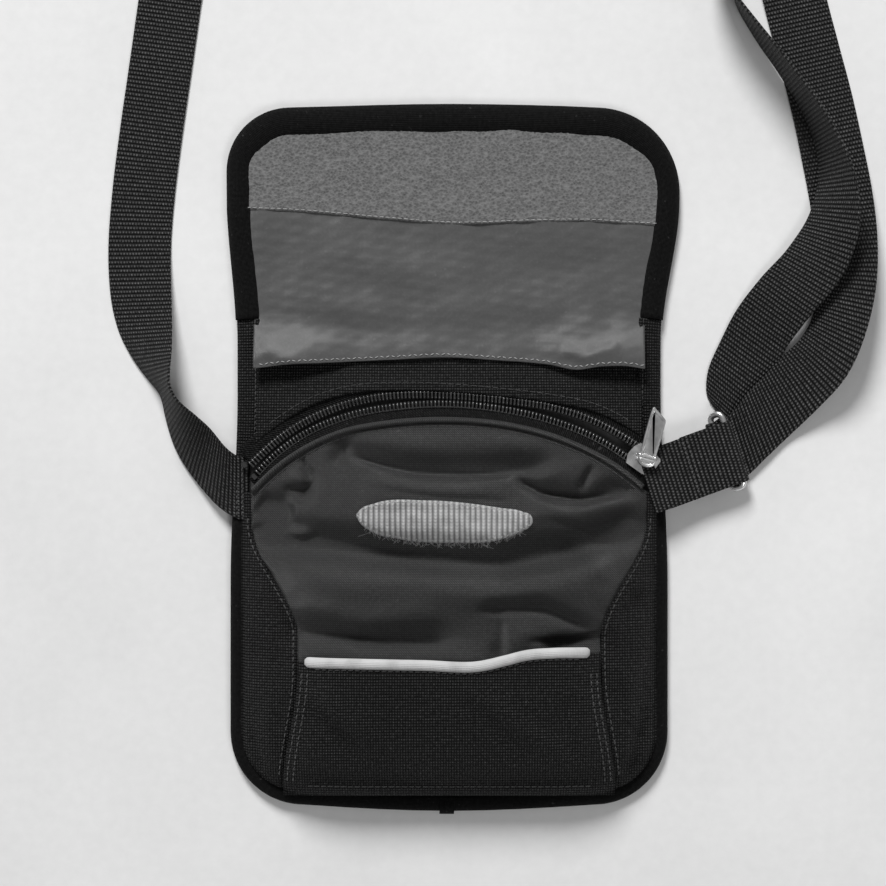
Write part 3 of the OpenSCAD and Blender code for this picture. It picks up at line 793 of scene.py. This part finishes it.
def front_body():
    x, y = front_grid(150, 150)
    panel = cloth("front_cloth", x, y, front_height(x, y), 0.7, TWILL)
    stand_for(panel, "front_panel", "bag")
    x, y = front_grid(60, 60)
    x, y = x * 0.93, y * 0.97 - 1.6
    low = np.minimum(front_height(x, y), plain_front(x, y) - 11)
    inner = cloth("front_inner", x, y, np.maximum(low - 3.0, 5.0), 0.3, LINING)
    stand_for(inner, "front_lining", "bag")


def gusset(sign, name):
    v = np.linspace(0, 1, 110)[:, None]
    u = np.linspace(0, 1, 26)[None, :]
    y = mix(-132, -14, v) + 0 * u
    x = mix(seam_x(y) - 0.3, side_limit(y) + 0.9, u)
    z = front_height(sign * x, y) - 0.5 * ease((u - 0.86) / 0.14)
    if sign < 0:
        x, y, z = -x[:, ::-1], y, z[:, ::-1]
    panel = cloth("gusset_cloth_" + name, x, y, z, CLOTH_T, CANVAS)
    stand_for(panel, "gusset_" + name, "bag")
    line = np.linspace(-24, -126, 60)
    path = np.column_stack([sign * (seam_x(line) + 1.5), line,
                            front_height(sign * (seam_x(line) + 1.5), line) + 0.1])
    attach(sewn_line("gusset_stitches_" + name, path, THREAD, 2.8), "bag")


# ---- pocket ----

POCKET_FOLDS = [
    ([(-62, -92), (-48, -106), (-34, -119)], -1.5, 3.6, 5, 16),
    ([(-52, -90), (-40, -102), (-28, -112)], 1.0, 4, 4, 14),
    ([(2, -92), (18, -106), (33, -121)], -1.1, 3.4, 4.6, 16),
    ([(14, -92), (28, -104), (42, -114)], 0.8, 4, 4, 14),
    ([(-20, -88), (-6, -100), (-2, -116)], -0.6, 5, 5, 16),
    ([(50, -90), (44, -104), (52, -122)], -0.9, 3, 4, 12),
    ([(-58, -127), (0, -130), (58, -127)], -0.8, 3, 2.5, 12),
]


def pocket_height(x, y):
    v = (y - FRONT_LOW) / (MOUTH_Y - FRONT_LOW)
    s = np.abs(x) / seam_x(y)
    room = POCKET_ROOM * dome((1 - s) / 0.45) * dome(v / 0.8)
    wrinkles = 0.25 * ripples(x, y, 15, 21) + 0.1 * ripples(x, y, 6, 22)
    free = ease((1 - s) / 0.12) * ease(v / 0.15)
    return plain_front(x, y) + 1.0 + room + free * (1.5 * folds(x, y, POCKET_FOLDS) + wrinkles)


def pocket():
    v = np.linspace(0, 1, 80)[:, None]
    s = np.linspace(-1, 1, 130)[None, :]
    y = mix(FRONT_LOW, mouth_line(59.3 * s) + 0.6, v)
    x = (seam_x(y) - 0.3) * s
    panel = cloth("pocket_cloth", x, y, pocket_height(x, y), CLOTH_T, CANVAS)
    stand_for(panel, "pocket_panel", "bag")
    rows = []
    for sign in (-1, 1):
        for inset in (2.0, 4.4):
            line = np.linspace(-84, -128, 30)
            x = sign * (seam_x(line) - inset)
            path = np.column_stack([x, line, pocket_height(x, line) + 0.15])
            rows.append(sewn_line("pocket_side_row", path, THREAD, 2.7))
    x = np.linspace(-56, 56, 60)
    path = np.column_stack([x, 0 * x - 129.5, pocket_height(x, 0 * x - 129.5) + 0.15])
    rows.append(sewn_line("pocket_low_row", path, THREAD, 2.7))
    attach(join("pocket_stitches", rows), "bag")


def mouth_line(x):
    """The pocket's mouth, which kinks up on the right."""
    return spline(x, [(-60, -80.4), (-40, -80.7), (-10, -81.3), (12, -81.6), (22, -79.4), (30, -77.4),
                      (40, -76.6), (60, -76.8)])


def pocket_trim():
    x = np.linspace(-56.4, 54.8, 110)
    y = mouth_line(x) + 0.6
    z = pocket_height(x, np.minimum(y, MOUTH_Y)) + 0.2
    path = np.column_stack([x, y, z])
    profile = [(-2.0, -0.9), (-2.1, 0.0), (-1.6, 0.8), (-0.6, 1.15), (0.6, 1.2), (1.6, 0.85), (2.1, 0.1),
               (2.0, -0.8), (0.8, -1.1), (-0.8, -1.1)]
    taper = ease(0.5 + np.minimum(x - x[0], x[-1] - x) / 3)
    rings = [[(px + s[0] * a * k, py + s[1] * a * k, pz + b * k) for a, b in profile]
             for (px, py, pz), s, k in zip(path, normals(path), taper)]
    around = np.linspace(0, 9, len(profile))
    flat = unrolled(around, x)
    trim = loft("pocket_piping", np.array(rings)[:, ::-1], TRIM, flat)
    stand_for(trim, "pocket_trim", "bag")
    low = np.column_stack([path[:, :2] + normals(path) * -2.6, path[:, 2] + 0.05])
    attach(sewn_line("piping_stitches", low[4:-4], THREAD, 2.6), "bag")


# ---- hook patch ----

def patch_top(x):
    return spline(x, [(-36.6, -22.6), (-35, -20.6), (-29.6, -18.2), (-8, -16.9), (20, -19.8), (29, -21.4),
                      (32, -23), (33, -25)])


def patch_low(x):
    return spline(x, [(-36.6, -22.9), (-35, -25.8), (-31.6, -28.6), (-19.6, -32.2), (0.4, -33.7),
                      (20.4, -32.2), (28.5, -29), (32, -26.8), (33, -25.2)])


def hook_patch():
    s = np.linspace(0, 1, 240)[None, :]
    v = np.linspace(0, 1, 46)[:, None]
    x = mix(-36.6, 33, 0.5 - 0.5 * np.cos(math.pi * mix(0.04, 0.96, s))) + 0 * v
    y = mix(patch_low(x), patch_top(x), v)
    rim = np.minimum(np.minimum(v, 1 - v) * (patch_top(x) - patch_low(x)), np.minimum(x + 36.6, 33 - x))
    ribs = 0.22 * np.abs(np.cos(math.pi * x / 2.15)) * ease((rim - 0.8) / 0.8)
    z = front_height(x, y) + 1.0 + 0.5 * ease(rim / 1.2) + ribs + 0.05 * ripples(x, y, 1.3, 31)
    patch = cloth("hook_panel", x, y, z, 1.2, HOOK)
    stand_for(patch, "hook_patch", "bag")
    t = np.linspace(-35.8, 32.4, 90)
    upper = np.column_stack([t, patch_top(t) - 0.8])
    lower = np.column_stack([t, patch_low(t) + 0.9])[::-1]
    ring = np.vstack([upper, lower, upper[:1]])
    z = front_height(ring[:, 0], ring[:, 1]) + 1.35
    rim_line = sewn_line("patch_rim_stitches", np.column_stack([ring, z]), PALE_THREAD, 1.3,
                         0.9, 0.26, 0.1, 0.35)
    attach(rim_line, "bag")
    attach(fringe(), "bag")


def fringe():
    """Frayed threads at the patch's lower edge."""
    rng = np.random.default_rng(7)
    strands = []
    for _ in range(150):
        x = rng.uniform(-33, 31)
        y = float(patch_low(x)) + rng.uniform(-0.1, 0.5)
        lean, reach = rng.normal(0, 0.9), rng.uniform(0.7, 2.4)
        t = np.linspace(0, 1, 4)
        px, py = x + lean * t**1.5 * reach, y - reach * t
        z = front_height(px, py) + 0.9 - 0.5 * t + rng.uniform(-0.1, 0.3) * t
        rings = cord_rings(np.column_stack([px, py, z]), rng.uniform(0.06, 0.12), 3)
        strands.append(loft("strand", rings, PALE_THREAD))
    return join("patch_fringe", strands)


# ---- zip and yoke ----

def arch_path(radius, start, stop, count, height):
    """Points along an uneven arc, with height a function of the angle."""
    a = np.linspace(start, stop, count)
    x, y = on_arch(radius(a), a)
    return np.column_stack([x, y, height(a)])


def welt_height(a):
    x, y = on_arch(welt_radius(a) - 1.2, a)
    return front_height(x, y)


def welt():
    line = arch_path(lambda a: welt_radius(a) + 0.4, -42, 40, 150, lambda a: welt_height(a) + 0.35)
    cord = loft("arch_piping", cord_rings(line, 1.15, 10), TWILL,
                cord_flat(line, 10, 7.0))
    stand_for(cord, "arch_welt", "bag")
    stitches = arch_path(lambda a: welt_radius(a) - 2.0, -41, 39, 110, lambda a: front_height(
        *on_arch(welt_radius(a) - 2.0, a)) + 0.12)
    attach(sewn_line("arch_stitches", stitches, THREAD, 3.0), "bag")


def cord_flat(path, sides, girth):
    run = run_along(path)
    around = np.arange(sides) * girth / sides
    return unrolled(around, run)


def tape_between(name, inner, outer, heights, span, node):
    a = np.linspace(*span, 130)[None, :]
    v = np.linspace(0, 1, 8)[:, None]
    r = mix(inner(a), outer(a), v)
    x, y = on_arch(r, a)
    z = mix(heights[0](a), heights[1](a), ease(v * 1.3)) + 0.05 * ripples(x, y, 6, 41)
    run = np.radians(a) * 125 + 0 * v
    tape = cloth(name, x, y, z, 0.5, ZIP_TAPE, np.stack([r, run], -1).reshape(-1, 2))
    stand_for(tape, node, "bag")


def level(z):
    return lambda a: 0 * a + z


def tooth(place, out, along, size):
    """One turn of the coil: a bent wire that lies across the tape and bulges at its inner end."""
    w, h = size
    profile = [(-1.9, 0.15), (-1.2, 0.62), (0.1, 0.75), (1.0, 0.62), (1.55, 0.15)]
    verts = []
    for reach, rise in profile:
        fat = w * (1.25 if reach > 0.5 else 1.0)
        for k in range(6):
            t = math.radians(60 * k)
            verts.append(place + out * reach + along * fat * math.cos(t)
                         + np.array([0, 0, rise + h * math.sin(t)]))
    return verts


def coil(name, radius, facing, node):
    """A row of zip teeth. facing is 1 where they point away from the arc's centre."""
    pitch = 1.5
    line = resample(arch_path(radius, -39, 38, 160, level(TAPE_Z + 0.25)), pitch)
    verts, faces = [], []
    side = normals(line)
    for i, (p, left) in enumerate(zip(line, side)):
        out = np.array([left[0], left[1], 0]) * facing
        along = np.array([-left[1], left[0], 0])
        verts += tooth(p, out, along, (0.46, 0.46))
        base = 30 * i
        faces += [tuple(base + v for v in f) for f in grid_faces(5, 6, wrap=True)]
        faces += [tuple(base + k for k in range(5, -1, -1)), tuple(base + 24 + k for k in range(6))]
    teeth = piece(name, verts, faces, COIL)
    stand_for(teeth, node, "bag")
    seam = np.column_stack([line[:, :2] - side * facing * 1.1, line[:, 2] + 0.75])
    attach(sewn_line(name + "_stitches", seam, THREAD, pitch, 0.8, 0.2), "bag")


def zip_rows():
    tape_between("tape_front", lambda a: welt_radius(a) + 0.9, lambda a: lower_coil(a) + 1.0,
                 (lambda a: welt_height(a) - 0.5, level(TAPE_Z + 0.1)), (-41, 38.6), "zip_tape_front")
    tape_between("tape_yoke", lambda a: upper_coil(a) - 1.0, lambda a: yoke_edge(a) + 2.5,
                 (level(TAPE_Z + 0.1), level(TAPE_Z + 0.4)), (-39, 38.6), "zip_tape_yoke")
    coil("teeth_front", lower_coil, 1, "coil_front")
    coil("teeth_yoke", upper_coil, -1, "coil_yoke")


def yoke_top(x):
    return 38.6 + 1.2 * np.sin(x / 19) * 0.4 - 1.2 * (np.abs(x) / 76) ** 2


def yoke_height(x, y):
    edge = arch_y_at(x, yoke_edge)
    t = (y - edge) / (yoke_top(x) - edge)
    z = mix(9.9, 5.0, ease(t)) - 0.8 * ease((np.abs(x) - 52) / 24)
    crease = stroke(x, y, [(-66, 24), (-40, 31), (-10, 33)], -0.5, 3, 3)
    return z + crease + 0.25 * ripples(x, y, 16, 51) + 0.08 * ripples(x, y, 5, 52)


def yoke():
    x = np.linspace(-76.6, 76.6, 170)[None, :]
    edge = arch_y_at(x, yoke_edge)
    lip = [(2.2, -1.9), (0.7, -1.7), (0.0, -1.0), (0.1, -0.35), (0.7, 0.0)]
    rows = [(x, edge + ahead, yoke_height(x, edge) + drop) for ahead, drop in lip]
    for v in np.linspace(0.06, 1, 44):
        y = mix(edge, yoke_top(x), v)
        rows.append((x, y, yoke_height(x, y)))
    grids = [np.vstack([row[k] + 0 * x for row in rows]) for k in range(3)]
    panel = cloth("yoke_cloth", *grids, 0.6, CANVAS)
    stand_for(panel, "yoke_panel", "bag")
    line = x[0, 6:-6]
    y = arch_y_at(line, yoke_edge) + 3.2
    path = np.column_stack([line, y, yoke_height(line, y) + 0.12])
    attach(sewn_line("yoke_stitches", path, THREAD, 3.0), "bag")


# ---- slider and puller ----

def crisp(obj, width):
    """Softens the edges of a CAD part and shades it smooth between them."""
    for face in obj.data.polygons:
        face.use_smooth = True
    edge = obj.modifiers.new("edges", "BEVEL")
    edge.width, edge.segments, edge.limit_method = width * MM, 2, "ANGLE"
    edge.angle_limit, edge.harden_normals = math.radians(35), True
    edge.use_clamp_overlap = True


def dress(node, material, width):
    obj = frame["nodes"][node]
    obj.data.materials.clear()
    obj.data.materials.append(material)
    crisp(obj, width)


def rounded(points, radius, n=4):
    """A closed outline with its corners rounded."""
    out = []
    p = [np.array(q, float) for q in points]
    for a, b, c in zip(p[-1:] + p[:-1], p, p[1:] + p[:1]):
        r = min(radius, 0.45 * np.linalg.norm(a - b), 0.45 * np.linalg.norm(c - b))
        start, stop = b + (a - b) / np.linalg.norm(a - b) * r, b + (c - b) / np.linalg.norm(c - b) * r
        out += [(1 - t) ** 2 * start + 2 * t * (1 - t) * b + t**2 * stop for t in np.linspace(0, 1, n)]
    return np.array(out)


def inset(outline, amount):
    d = np.roll(outline, -1, 0) - np.roll(outline, 1, 0)
    d /= np.linalg.norm(d, axis=1)[:, None]
    return outline + np.stack([-d[:, 1], d[:, 0]], 1) * amount


def puller():
    """Cast tab: rounded rim, sunk face and a loop that turns on the slider's pin."""
    corners = [(3.2, 1.2), (3.4, 8), (3.4, 17.4), (-3.0, 21.6), (-3.4, 18), (-3.4, 8), (-3.2, 1.2)]
    outline = rounded(corners, 0.9)
    levels = [(0.35, -0.9), (0.0, -0.55), (0.0, 0.45), (0.15, 0.8), (0.45, 0.98), (0.8, 0.92), (1.15, 0.55),
              (1.3, 0.42)]
    rings = [np.column_stack([inset(outline, a), np.full(len(outline), z)]) for a, z in levels]
    tab = loft("pull_tab", rings, STEEL)
    half = [(3.0, 2.2), (3.0, 0.6), (2.6, -0.7), (1.6, -1.5)]
    arch = half + [(0, -1.8)] + [(-x, y) for x, y in half[::-1]]
    line = catmull([(x, y, 0.3) for x, y in arch], 0.4)
    loop = loft("pull_loop", cord_rings(line, 0.85, 10), STEEL)
    barrel = loft("pull_barrel", [[(x, 1.3 * math.cos(t), 1.3 * math.sin(t)) for t in
                                   np.radians(np.arange(0, 360, 20))] for x in (-2.9, -2.7, 2.7, 2.9)],
                  STEEL)
    whole = join("pull", [tab, loop, barrel])
    whole.matrix_world = puller_place()
    stand_for(whole, "puller", "puller")


def puller_place():
    """The puller's own axes: its pin along X, its length along Y."""
    from_joint = next(j for j in frame["joints"] if j["name"] == "puller_swing")
    pin, axis = Vector(from_joint["pos_m"]), Vector(from_joint["axis"]).normalized()
    if axis.x < 0:
        axis = -axis
    up = Vector((0, 0, 1))
    along = up.cross(axis)
    matrix = Matrix((axis, along, up)).transposed().to_4x4()
    matrix.translation = pin
    return matrix


# ---- flap ----

def lining_low(x):
    """The lining's wavy hem above the yoke."""
    return spline(x, [(-76, 35.2), (-68, 36.2), (-48, 37.4), (-20, 38.8), (-3.6, 39.6), (20, 38.4),
                      (40, 36.6), (50, 34.6), (60, 35.8), (70, 36), (78, 34.8)])


def loop_low(x):
    """Where the loop panel's lower edge crosses the lining."""
    return spline(x, [(-82, 98.5), (-60, 97.6), (-28, 94.8), (4, 92.6), (30, 93.4), (50, 93.8), (84, 92.0)])


LINING_FOLDS = [
    ([(-60, 62), (-20, 56), (30, 60), (64, 54)], 0.7, 8, 6, 20),
    ([(-72, 52), (-40, 50), (-10, 52)], -0.5, 5, 5, 14),
    ([(36, 40), (48, 50), (62, 58)], 0.6, 5, 6, 10),
    ([(-50, 80), (-10, 72), (20, 78)], 0.5, 8, 8, 20),
    ([(10, 84), (40, 74), (70, 80)], -0.5, 7, 7, 20),
    ([(-76, 44), (-66, 40), (-58, 38)], 0.7, 3, 3, 6),
    ([(44, 44), (54, 40), (68, 44)], 0.9, 3.5, 3, 6),
]


def lining_height(x, y):
    """The lining rises over the yoke at its hem, most at its two corners."""
    corners = ease((np.abs(x) - 34) / 26)
    rise = ease((58 - y) / 20) * (2.2 + 4.6 * corners)
    waves = 1.6 * folds(x, y, LINING_FOLDS) + 0.35 * ripples(x, y, 18, 61) + 0.1 * ripples(x, y, 6, 62)
    return 4.3 + rise + waves


def flap():
    x, y = between_edges(FLAP_START - 1.5, 137.6, 110, 120, 3.2)
    sag = 0.75 * dome((86 - np.abs(x)) / 14) * dome((136 - y) / 14) + 0.1 * ripples(x, y, 22, 71)
    shell = cloth("flap_cloth", x, y, 1.75 - sag, 0.8, CANVAS)
    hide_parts("flap_shell")
    bend(shell)
    x, y = between_edges(34, 137, 60, 60, 5)
    pad = cloth("flap_pad", x, y, 3.1 + 0.1 * ripples(x, y, 25, 72), 1.2, FOAM)
    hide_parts("flap_foam")
    bend(pad)
    x, y = between_edges(36, 99.5, 120, 190, 7.0, lining_low)
    sheet = cloth("flap_inner", x, y, lining_height(x, y), 0.35, LINING)
    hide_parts("flap_lining")
    bend(sheet)
    line = np.linspace(-75.5, 77.5, 150)
    y = lining_low(line) + 1.3
    hem = np.column_stack([line, y, lining_height(line, y) + 0.12])
    bend(sewn_line("hem_stitches", hem, PALE_THREAD, 2.2, 0.6, 0.2, 0.12, 0.25))
    x, y = between_edges(93, 133.6, 70, 230, 5.0, loop_low)
    nap = 0.05 * ripples(x, y, 2.3, 81) + 0.05 * ripples(x, y, 1.5, 82) + 0.12 * ripples(x, y, 14, 83)
    pile = cloth("loop_pile", x, y, 4.9 + nap - 0.3 * ease((loop_low(x) + 1.5 - y) / 1.5), 0.9, LOOP)
    stand_for(pile, "flap_loop_panel", "flap")
    line = np.linspace(-81, 83, 150)
    seam = np.column_stack([line, loop_low(line) + 0.9, 0 * line + 5.05])
    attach(sewn_line("loop_stitches", seam, PALE_THREAD, 2.4, 0.75, 0.16), "flap")


# ---- back ----

def back():
    x, y = between_edges(-136.5, 46.5, 120, 90, 2.6)
    sag = 0.5 * dome((84 - np.abs(x)) / 14) * dome((y + 136) / 14)
    panel = cloth("back_cloth", x, y, 1.75 - sag + 0.1 * ripples(x, y, 24, 91), 0.8, CANVAS)
    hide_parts("back_panel")
    bend(panel)
    x, y = between_edges(-135, 33, 60, 60, 5)
    pad = cloth("back_pad", x, y, 3.2 + 0 * x, 1.3, FOAM)
    stand_for(pad, "back_foam", "bag")
    x, y = between_edges(-135, 40, 60, 60, 4)
    sheet = cloth("back_inner", x, y, 3.8 + 0.08 * ripples(x, y, 20, 92), 0.3, LINING)
    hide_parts("back_lining")
    bend(sheet)


# ---- strap ----

# Route of the webbing in metres: x, y, clear height under its lower edge; then, in degrees, the
# bearing of its width and the lean of its width
ROUTE = [
    (-0.0796, -0.0126, 0.0052, 90, 0), (-0.084, -0.012, 0.0053, 90, 2), (-0.09, -0.008, 0.004, 84, 12),
    (-0.097, 0, 0.0014, 74, 26), (-0.104, 0.009, 0.0003, 60, 46), (-0.109, 0.018, 0.0002, 42, 66),
    (-0.112, 0.026, 0.0002, 24, 74), (-0.115, 0.033, 0.0002, 12, 62), (-0.118, 0.041, 0.0002, 4, 44),
    (-0.121, 0.052, 0.0002, 2, 24), (-0.123, 0.066, 0.0002, 1, 8), (-0.1236, 0.084, 0.0002, 0, 0),
    (-0.122, 0.106, 0.0002, -4, 0), (-0.119, 0.13, 0.0002, -8, 0), (-0.1154, 0.155, 0.0002, -8, 0),
    (-0.1114, 0.183, 0.0002, -8, 0), (-0.1076, 0.21, 0.0002, -8, 6), (-0.104, 0.236, 0.0002, -8, 40),
    (-0.101, 0.262, 0.0002, -8, 84), (-0.095, 0.29, 0.0002, -20, 90), (-0.08, 0.32, 0.0002, -36, 90),
    (-0.056, 0.346, 0.0002, -56, 90), (-0.026, 0.362, 0.0002, -74, 90), (0.008, 0.366, 0.0002, -92, 90),
    (0.042, 0.362, 0.0002, -110, 90), (0.072, 0.35, 0.0002, -128, 90), (0.094, 0.332, 0.0002, -146, 88),
    (0.106, 0.312, 0.0002, -160, 62), (0.1126, 0.292, 0.0008, -167, 24), (0.1168, 0.275, 0.0018, -167, 0),
    (0.1244, 0.242, 0.0018, -167, 0), (0.1306, 0.215, 0.003, -167, 0), (0.1336, 0.202, 0.0032, -167, 0),
    (0.138, 0.183, 0.0008, -167, 0), (0.1436, 0.162, 0.0002, -166, 0), (0.1488, 0.142, 0.0002, -166, -1),
    (0.153, 0.122, 0.0002, -168, -4), (0.1564, 0.103, 0.0002, -172, -10), (0.158, 0.085, 0.0002, -178, -20),
    (0.1576, 0.068, 0.0002, -190, -30), (0.1544, 0.052, 0.0004, -206, -36),
    (0.1486, 0.0396, 0.0009, -222, -26), (0.1396, 0.0296, 0.0018, -234, -10),
    (0.13, 0.0196, 0.0018, -242, 2), (0.1216, 0.011, 0.0018, -248, 4), (0.1164, 0.0054, 0.0018, -252, 1),
    (0.1129, 0.00315, 0.0019, -252, 0), (0.1118, 0.0028, 0.00215, -252, 0),
    (0.1108, 0.00246, 0.0027, -252, 0),
]
RETURN = [
    (0.1098, 0.00215, 0.0002, -252, 0), (0.1124, 0.0039, 0.0002, -249, 0),
    (0.1132, 0.0084, 0.0002, -238, 0), (0.112, 0.016, 0.0002, -224, 0), (0.1134, 0.027, 0.0002, -218, 0),
    (0.1186, 0.039, 0.0002, -216, 0), (0.1252, 0.0518, 0.0005, -216, -2),
    (0.1344, 0.0642, 0.0018, -216, -8), (0.145, 0.077, 0.0026, -210, -20),
    (0.1516, 0.092, 0.0026, -196, -42), (0.1528, 0.108, 0.003, -182, -62),
    (0.1498, 0.122, 0.0028, -164, -76), (0.143, 0.137, 0.0022, -150, -84),
    (0.1326, 0.153, 0.0018, -144, -88), (0.1218, 0.168, 0.0004, -142, -92),
    (0.1128, 0.182, 0.0002, -146, -100), (0.1106, 0.193, 0.0002, -152, -122),
    (0.114, 0.202, 0.0002, -154, -156), (0.12, 0.209, 0.0002, -157, -173),
    (0.1254, 0.2146, 0.0002, -162, -178), (0.1284, 0.2198, 0.0002, -167, -180),
    (0.1276, 0.2256, 0.0002, -167, -180),
]
REACH = (math.cos(RING_AZ + math.pi / 2), math.sin(RING_AZ + math.pi / 2))
HALF_SECTION = [(-1, -0.3), (-1, 0.3), (-0.97, 0.85), (-0.93, 1.0), (-0.8, 0.8), (-0.4, 0.85), (0, 0.85),
                (0.4, 0.85), (0.8, 0.8), (0.93, 1.0), (0.97, 0.85), (1, 0.3)]


def bend_round_bar():
    """Where the webbing turns round the ring's lower bar."""
    x, y = (RING_MID[k] - BAR_REACH * REACH[k] for k in (0, 1))
    turns = [math.radians(a) for a in range(60, 280, 30)]
    return [((x + LOOP_R * math.cos(a) * REACH[0]) * MM, (y + LOOP_R * math.cos(a) * REACH[1]) * MM,
             (BAR_LOW_Z + LOOP_R * math.sin(a) - WEB_T / 2) * MM, BAR_BEARING, 0) for a in turns]


def strap_knots():
    """Centre in millimetres, bearing and lean of the webbing at each point of its route."""
    out = []
    for x, y, clear, bearing, lean in ROUTE + bend_round_bar() + RETURN:
        up = clear / MM + abs(math.sin(math.radians(lean))) * WEB_W / 2 \
            + abs(math.cos(math.radians(lean))) * WEB_T / 2
        out.append((x / MM, y / MM, up, bearing, lean))
    return out


def ribbon(name, centres, wide, section, width, thick, material):
    """Webbing along centres, its width along the wide vectors."""
    centres, wide = np.array(centres), np.array(wide)
    along = np.gradient(centres, axis=0)
    along /= np.linalg.norm(along, axis=1)[:, None]
    up = np.cross(along, wide)
    up /= np.linalg.norm(up, axis=1)[:, None]
    ring = section + [(-a, -b) for a, b in section]
    rings = [[c + w * a * width / 2 + u * b * thick / 2 for a, b in ring]
             for c, w, u in zip(centres, wide, up)]
    run = run_along(centres)
    across = np.array([a * width / 2 for a, _ in ring])
    flat = unrolled(across[::-1], run)
    return loft(name, np.array(rings)[:, ::-1], material, flat)


def strap():
    knots = catmull(strap_knots(), 2.6)
    bearing, lean = np.radians(knots[:, 3:5]).T
    wide = np.stack([np.cos(lean) * np.cos(bearing), np.cos(lean) * np.sin(bearing), np.sin(lean)], 1)
    centres = knots[:, :3].copy()
    lowest = centres[:, 2] - np.abs(wide[:, 2]) * WEB_W / 2 - 0.62 * np.abs(np.cos(lean))
    centres[:, 2] += np.maximum(0, 0.1 - lowest)
    web = ribbon("shoulder_strap", centres, wide, HALF_SECTION, WEB_W, WEB_T, WEBBING)
    stand_for(web, "strap", "bag")
    end = strap_end()
    rows = []
    for x in (-82.2, -84.2):
        y = np.linspace(-23.5, -1.8, 20)
        rows.append(sewn_line("anchor_row", np.column_stack([0 * y + x, y, 0 * y + 6.75]), THREAD, 2.2))
    stand_for(join("anchor_threads", rows), "anchor_stitches", "bag")


def strap_end():
    """The webbing's sewn end, which folds round the adjuster's middle bar, drawn as a straight strip
    through the middle of its CAD box.
    """
    low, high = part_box("strap_end")
    az = math.radians(ADJUSTER_AZ)
    along, wide = np.array([math.cos(az), math.sin(az), 0]), np.array([-math.sin(az), math.cos(az), 0])
    middle = np.array((low + high) / 2) / MM
    path = [middle + along * t for t in np.linspace(-9.1, 9.1, 24)]
    end = ribbon("strap_end_fold", path, [wide] * len(path), HALF_SECTION, WEB_W - 0.6, 1.15, WEBBING)
    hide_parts("strap_end")
    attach(end, "adjuster")
    return end


# ---- tab and ring ----

def tab_point(reach, shift, z):
    x, y = (RING_MID[k] + BAR_REACH * REACH[k] for k in (0, 1))
    return (x + reach * REACH[0] - shift * REACH[1], y + reach * REACH[1] + shift * REACH[0], z)


# How far the tab's middle line lies from the ring's, along the ring's bars
TAB_SHIFT = -1.6


def strap_tab():
    """Short webbing folded round the ring's upper bar and sewn to itself."""
    under = [(-19, 6.5), (-14, 6.8), (-4.7, 6.95), (-2.9, 6.35), (-1.95, 4.9)]
    turn = [(LOOP_R * math.cos(a), BAR_HIGH_Z + LOOP_R * math.sin(a))
            for a in np.radians(range(-120, 100, 30))]
    over = [(-2.5, 8.4), (-8, 8.3), (-14, 8.2), (-22, 8.6), (-28, 9.6), (-33, 10.4), (-37, 10.6)]
    line = catmull([(r, 0, z) for r, z in under + turn + over], 1.2)
    wide = [(REACH[1], -REACH[0], 0)] * len(line)
    run = np.linspace(0, 1, len(line))
    centres = [tab_point(r, TAB_SHIFT + 0.5 * math.sin(5 * t), z) for (r, _, z), t in zip(line, run)]
    tab = ribbon("tab_webbing", centres, wide, HALF_SECTION, WEB_W, WEB_T, WEBBING)
    stand_for(tab, "strap_tab", "bag")
    rows = []
    for reach in (-16.8, -18.6):
        row = [tab_point(reach, s + TAB_SHIFT, 8.95) for s in np.linspace(-11, 10.8, 20)]
        rows.append(sewn_line("tab_row", row, THREAD, 1.9, 0.75, 0.28))
    stand_for(join("tab_threads", rows), "tab_stitches", "bag")


def metalwork():
    dress("slider_body", STEEL, 0.3)
    dress("slider_bridge", STEEL, 0.25)
    dress("zip_stops", COIL, 0.15)
    dress("strap_adjuster", BLACK_PLASTIC, 0.5)
    ring = frame["nodes"]["strap_ring"]
    ring.data.materials.clear()
    ring.data.materials.append(BRIGHT)
    for face in ring.data.polygons:
        face.use_smooth = True


# ---- stage ----

def stage():
    size = 4.0
    mesh = bpy.data.meshes.new("floor")
    corners = [(-size, -size, 0), (size, -size, 0), (size, size, 0), (-size, size, 0)]
    mesh.from_pydata(corners, [], [(0, 1, 2, 3)])
    mesh.materials.append(floor_finish())
    floor = bpy.data.objects.new("floor", mesh)
    bpy.context.scene.collection.objects.link(floor)


def area_light(name, place, target, size, watts):
    data = bpy.data.lights.new(name, "AREA")
    data.shape, data.size, data.energy = "DISK", size, watts
    lamp = bpy.data.objects.new(name, data)
    lamp.location = place
    lamp.rotation_euler = (Vector(target) - Vector(place)).to_track_quat("-Z", "Y").to_euler()
    bpy.context.scene.collection.objects.link(lamp)


def lights():
    area_light("key", (-0.6, 2.5, 1.95), (0, 0, 0), 1.1, 116)
    area_light("fill", (1.1, -1.5, 2.2), (0, 0, 0), 1.2, 18)
    world = bpy.data.worlds.new("studio")
    world.use_nodes = True
    world.node_tree.nodes["Background"].inputs["Color"].default_value = (1, 1, 1, 1)
    world.node_tree.nodes["Background"].inputs["Strength"].default_value = 0.21
    bpy.context.scene.world = world


def camera():
    """Straight above the bag, framed on 354 mm of the floor."""
    data = bpy.data.cameras.new("camera")
    height, view = 0.95, 0.3544
    data.sensor_width = 36
    data.lens = 36 * height / view
    data.clip_end = 20
    eye = bpy.data.objects.new("camera", data)
    eye.location = (-0.0024, 0.0056, height)
    bpy.context.scene.collection.objects.link(eye)
    bpy.context.scene.camera = eye


bpy.context.scene.view_settings.view_transform = "Standard"
camera()
strap()
strap_tab()
edges()
bar_tack()
front_body()
gusset(-1, "left")
gusset(1, "right")
pocket()
pocket_trim()
hook_patch()
welt()
zip_rows()
yoke()
puller()
flap()
back()
metalwork()
lights()
stage()
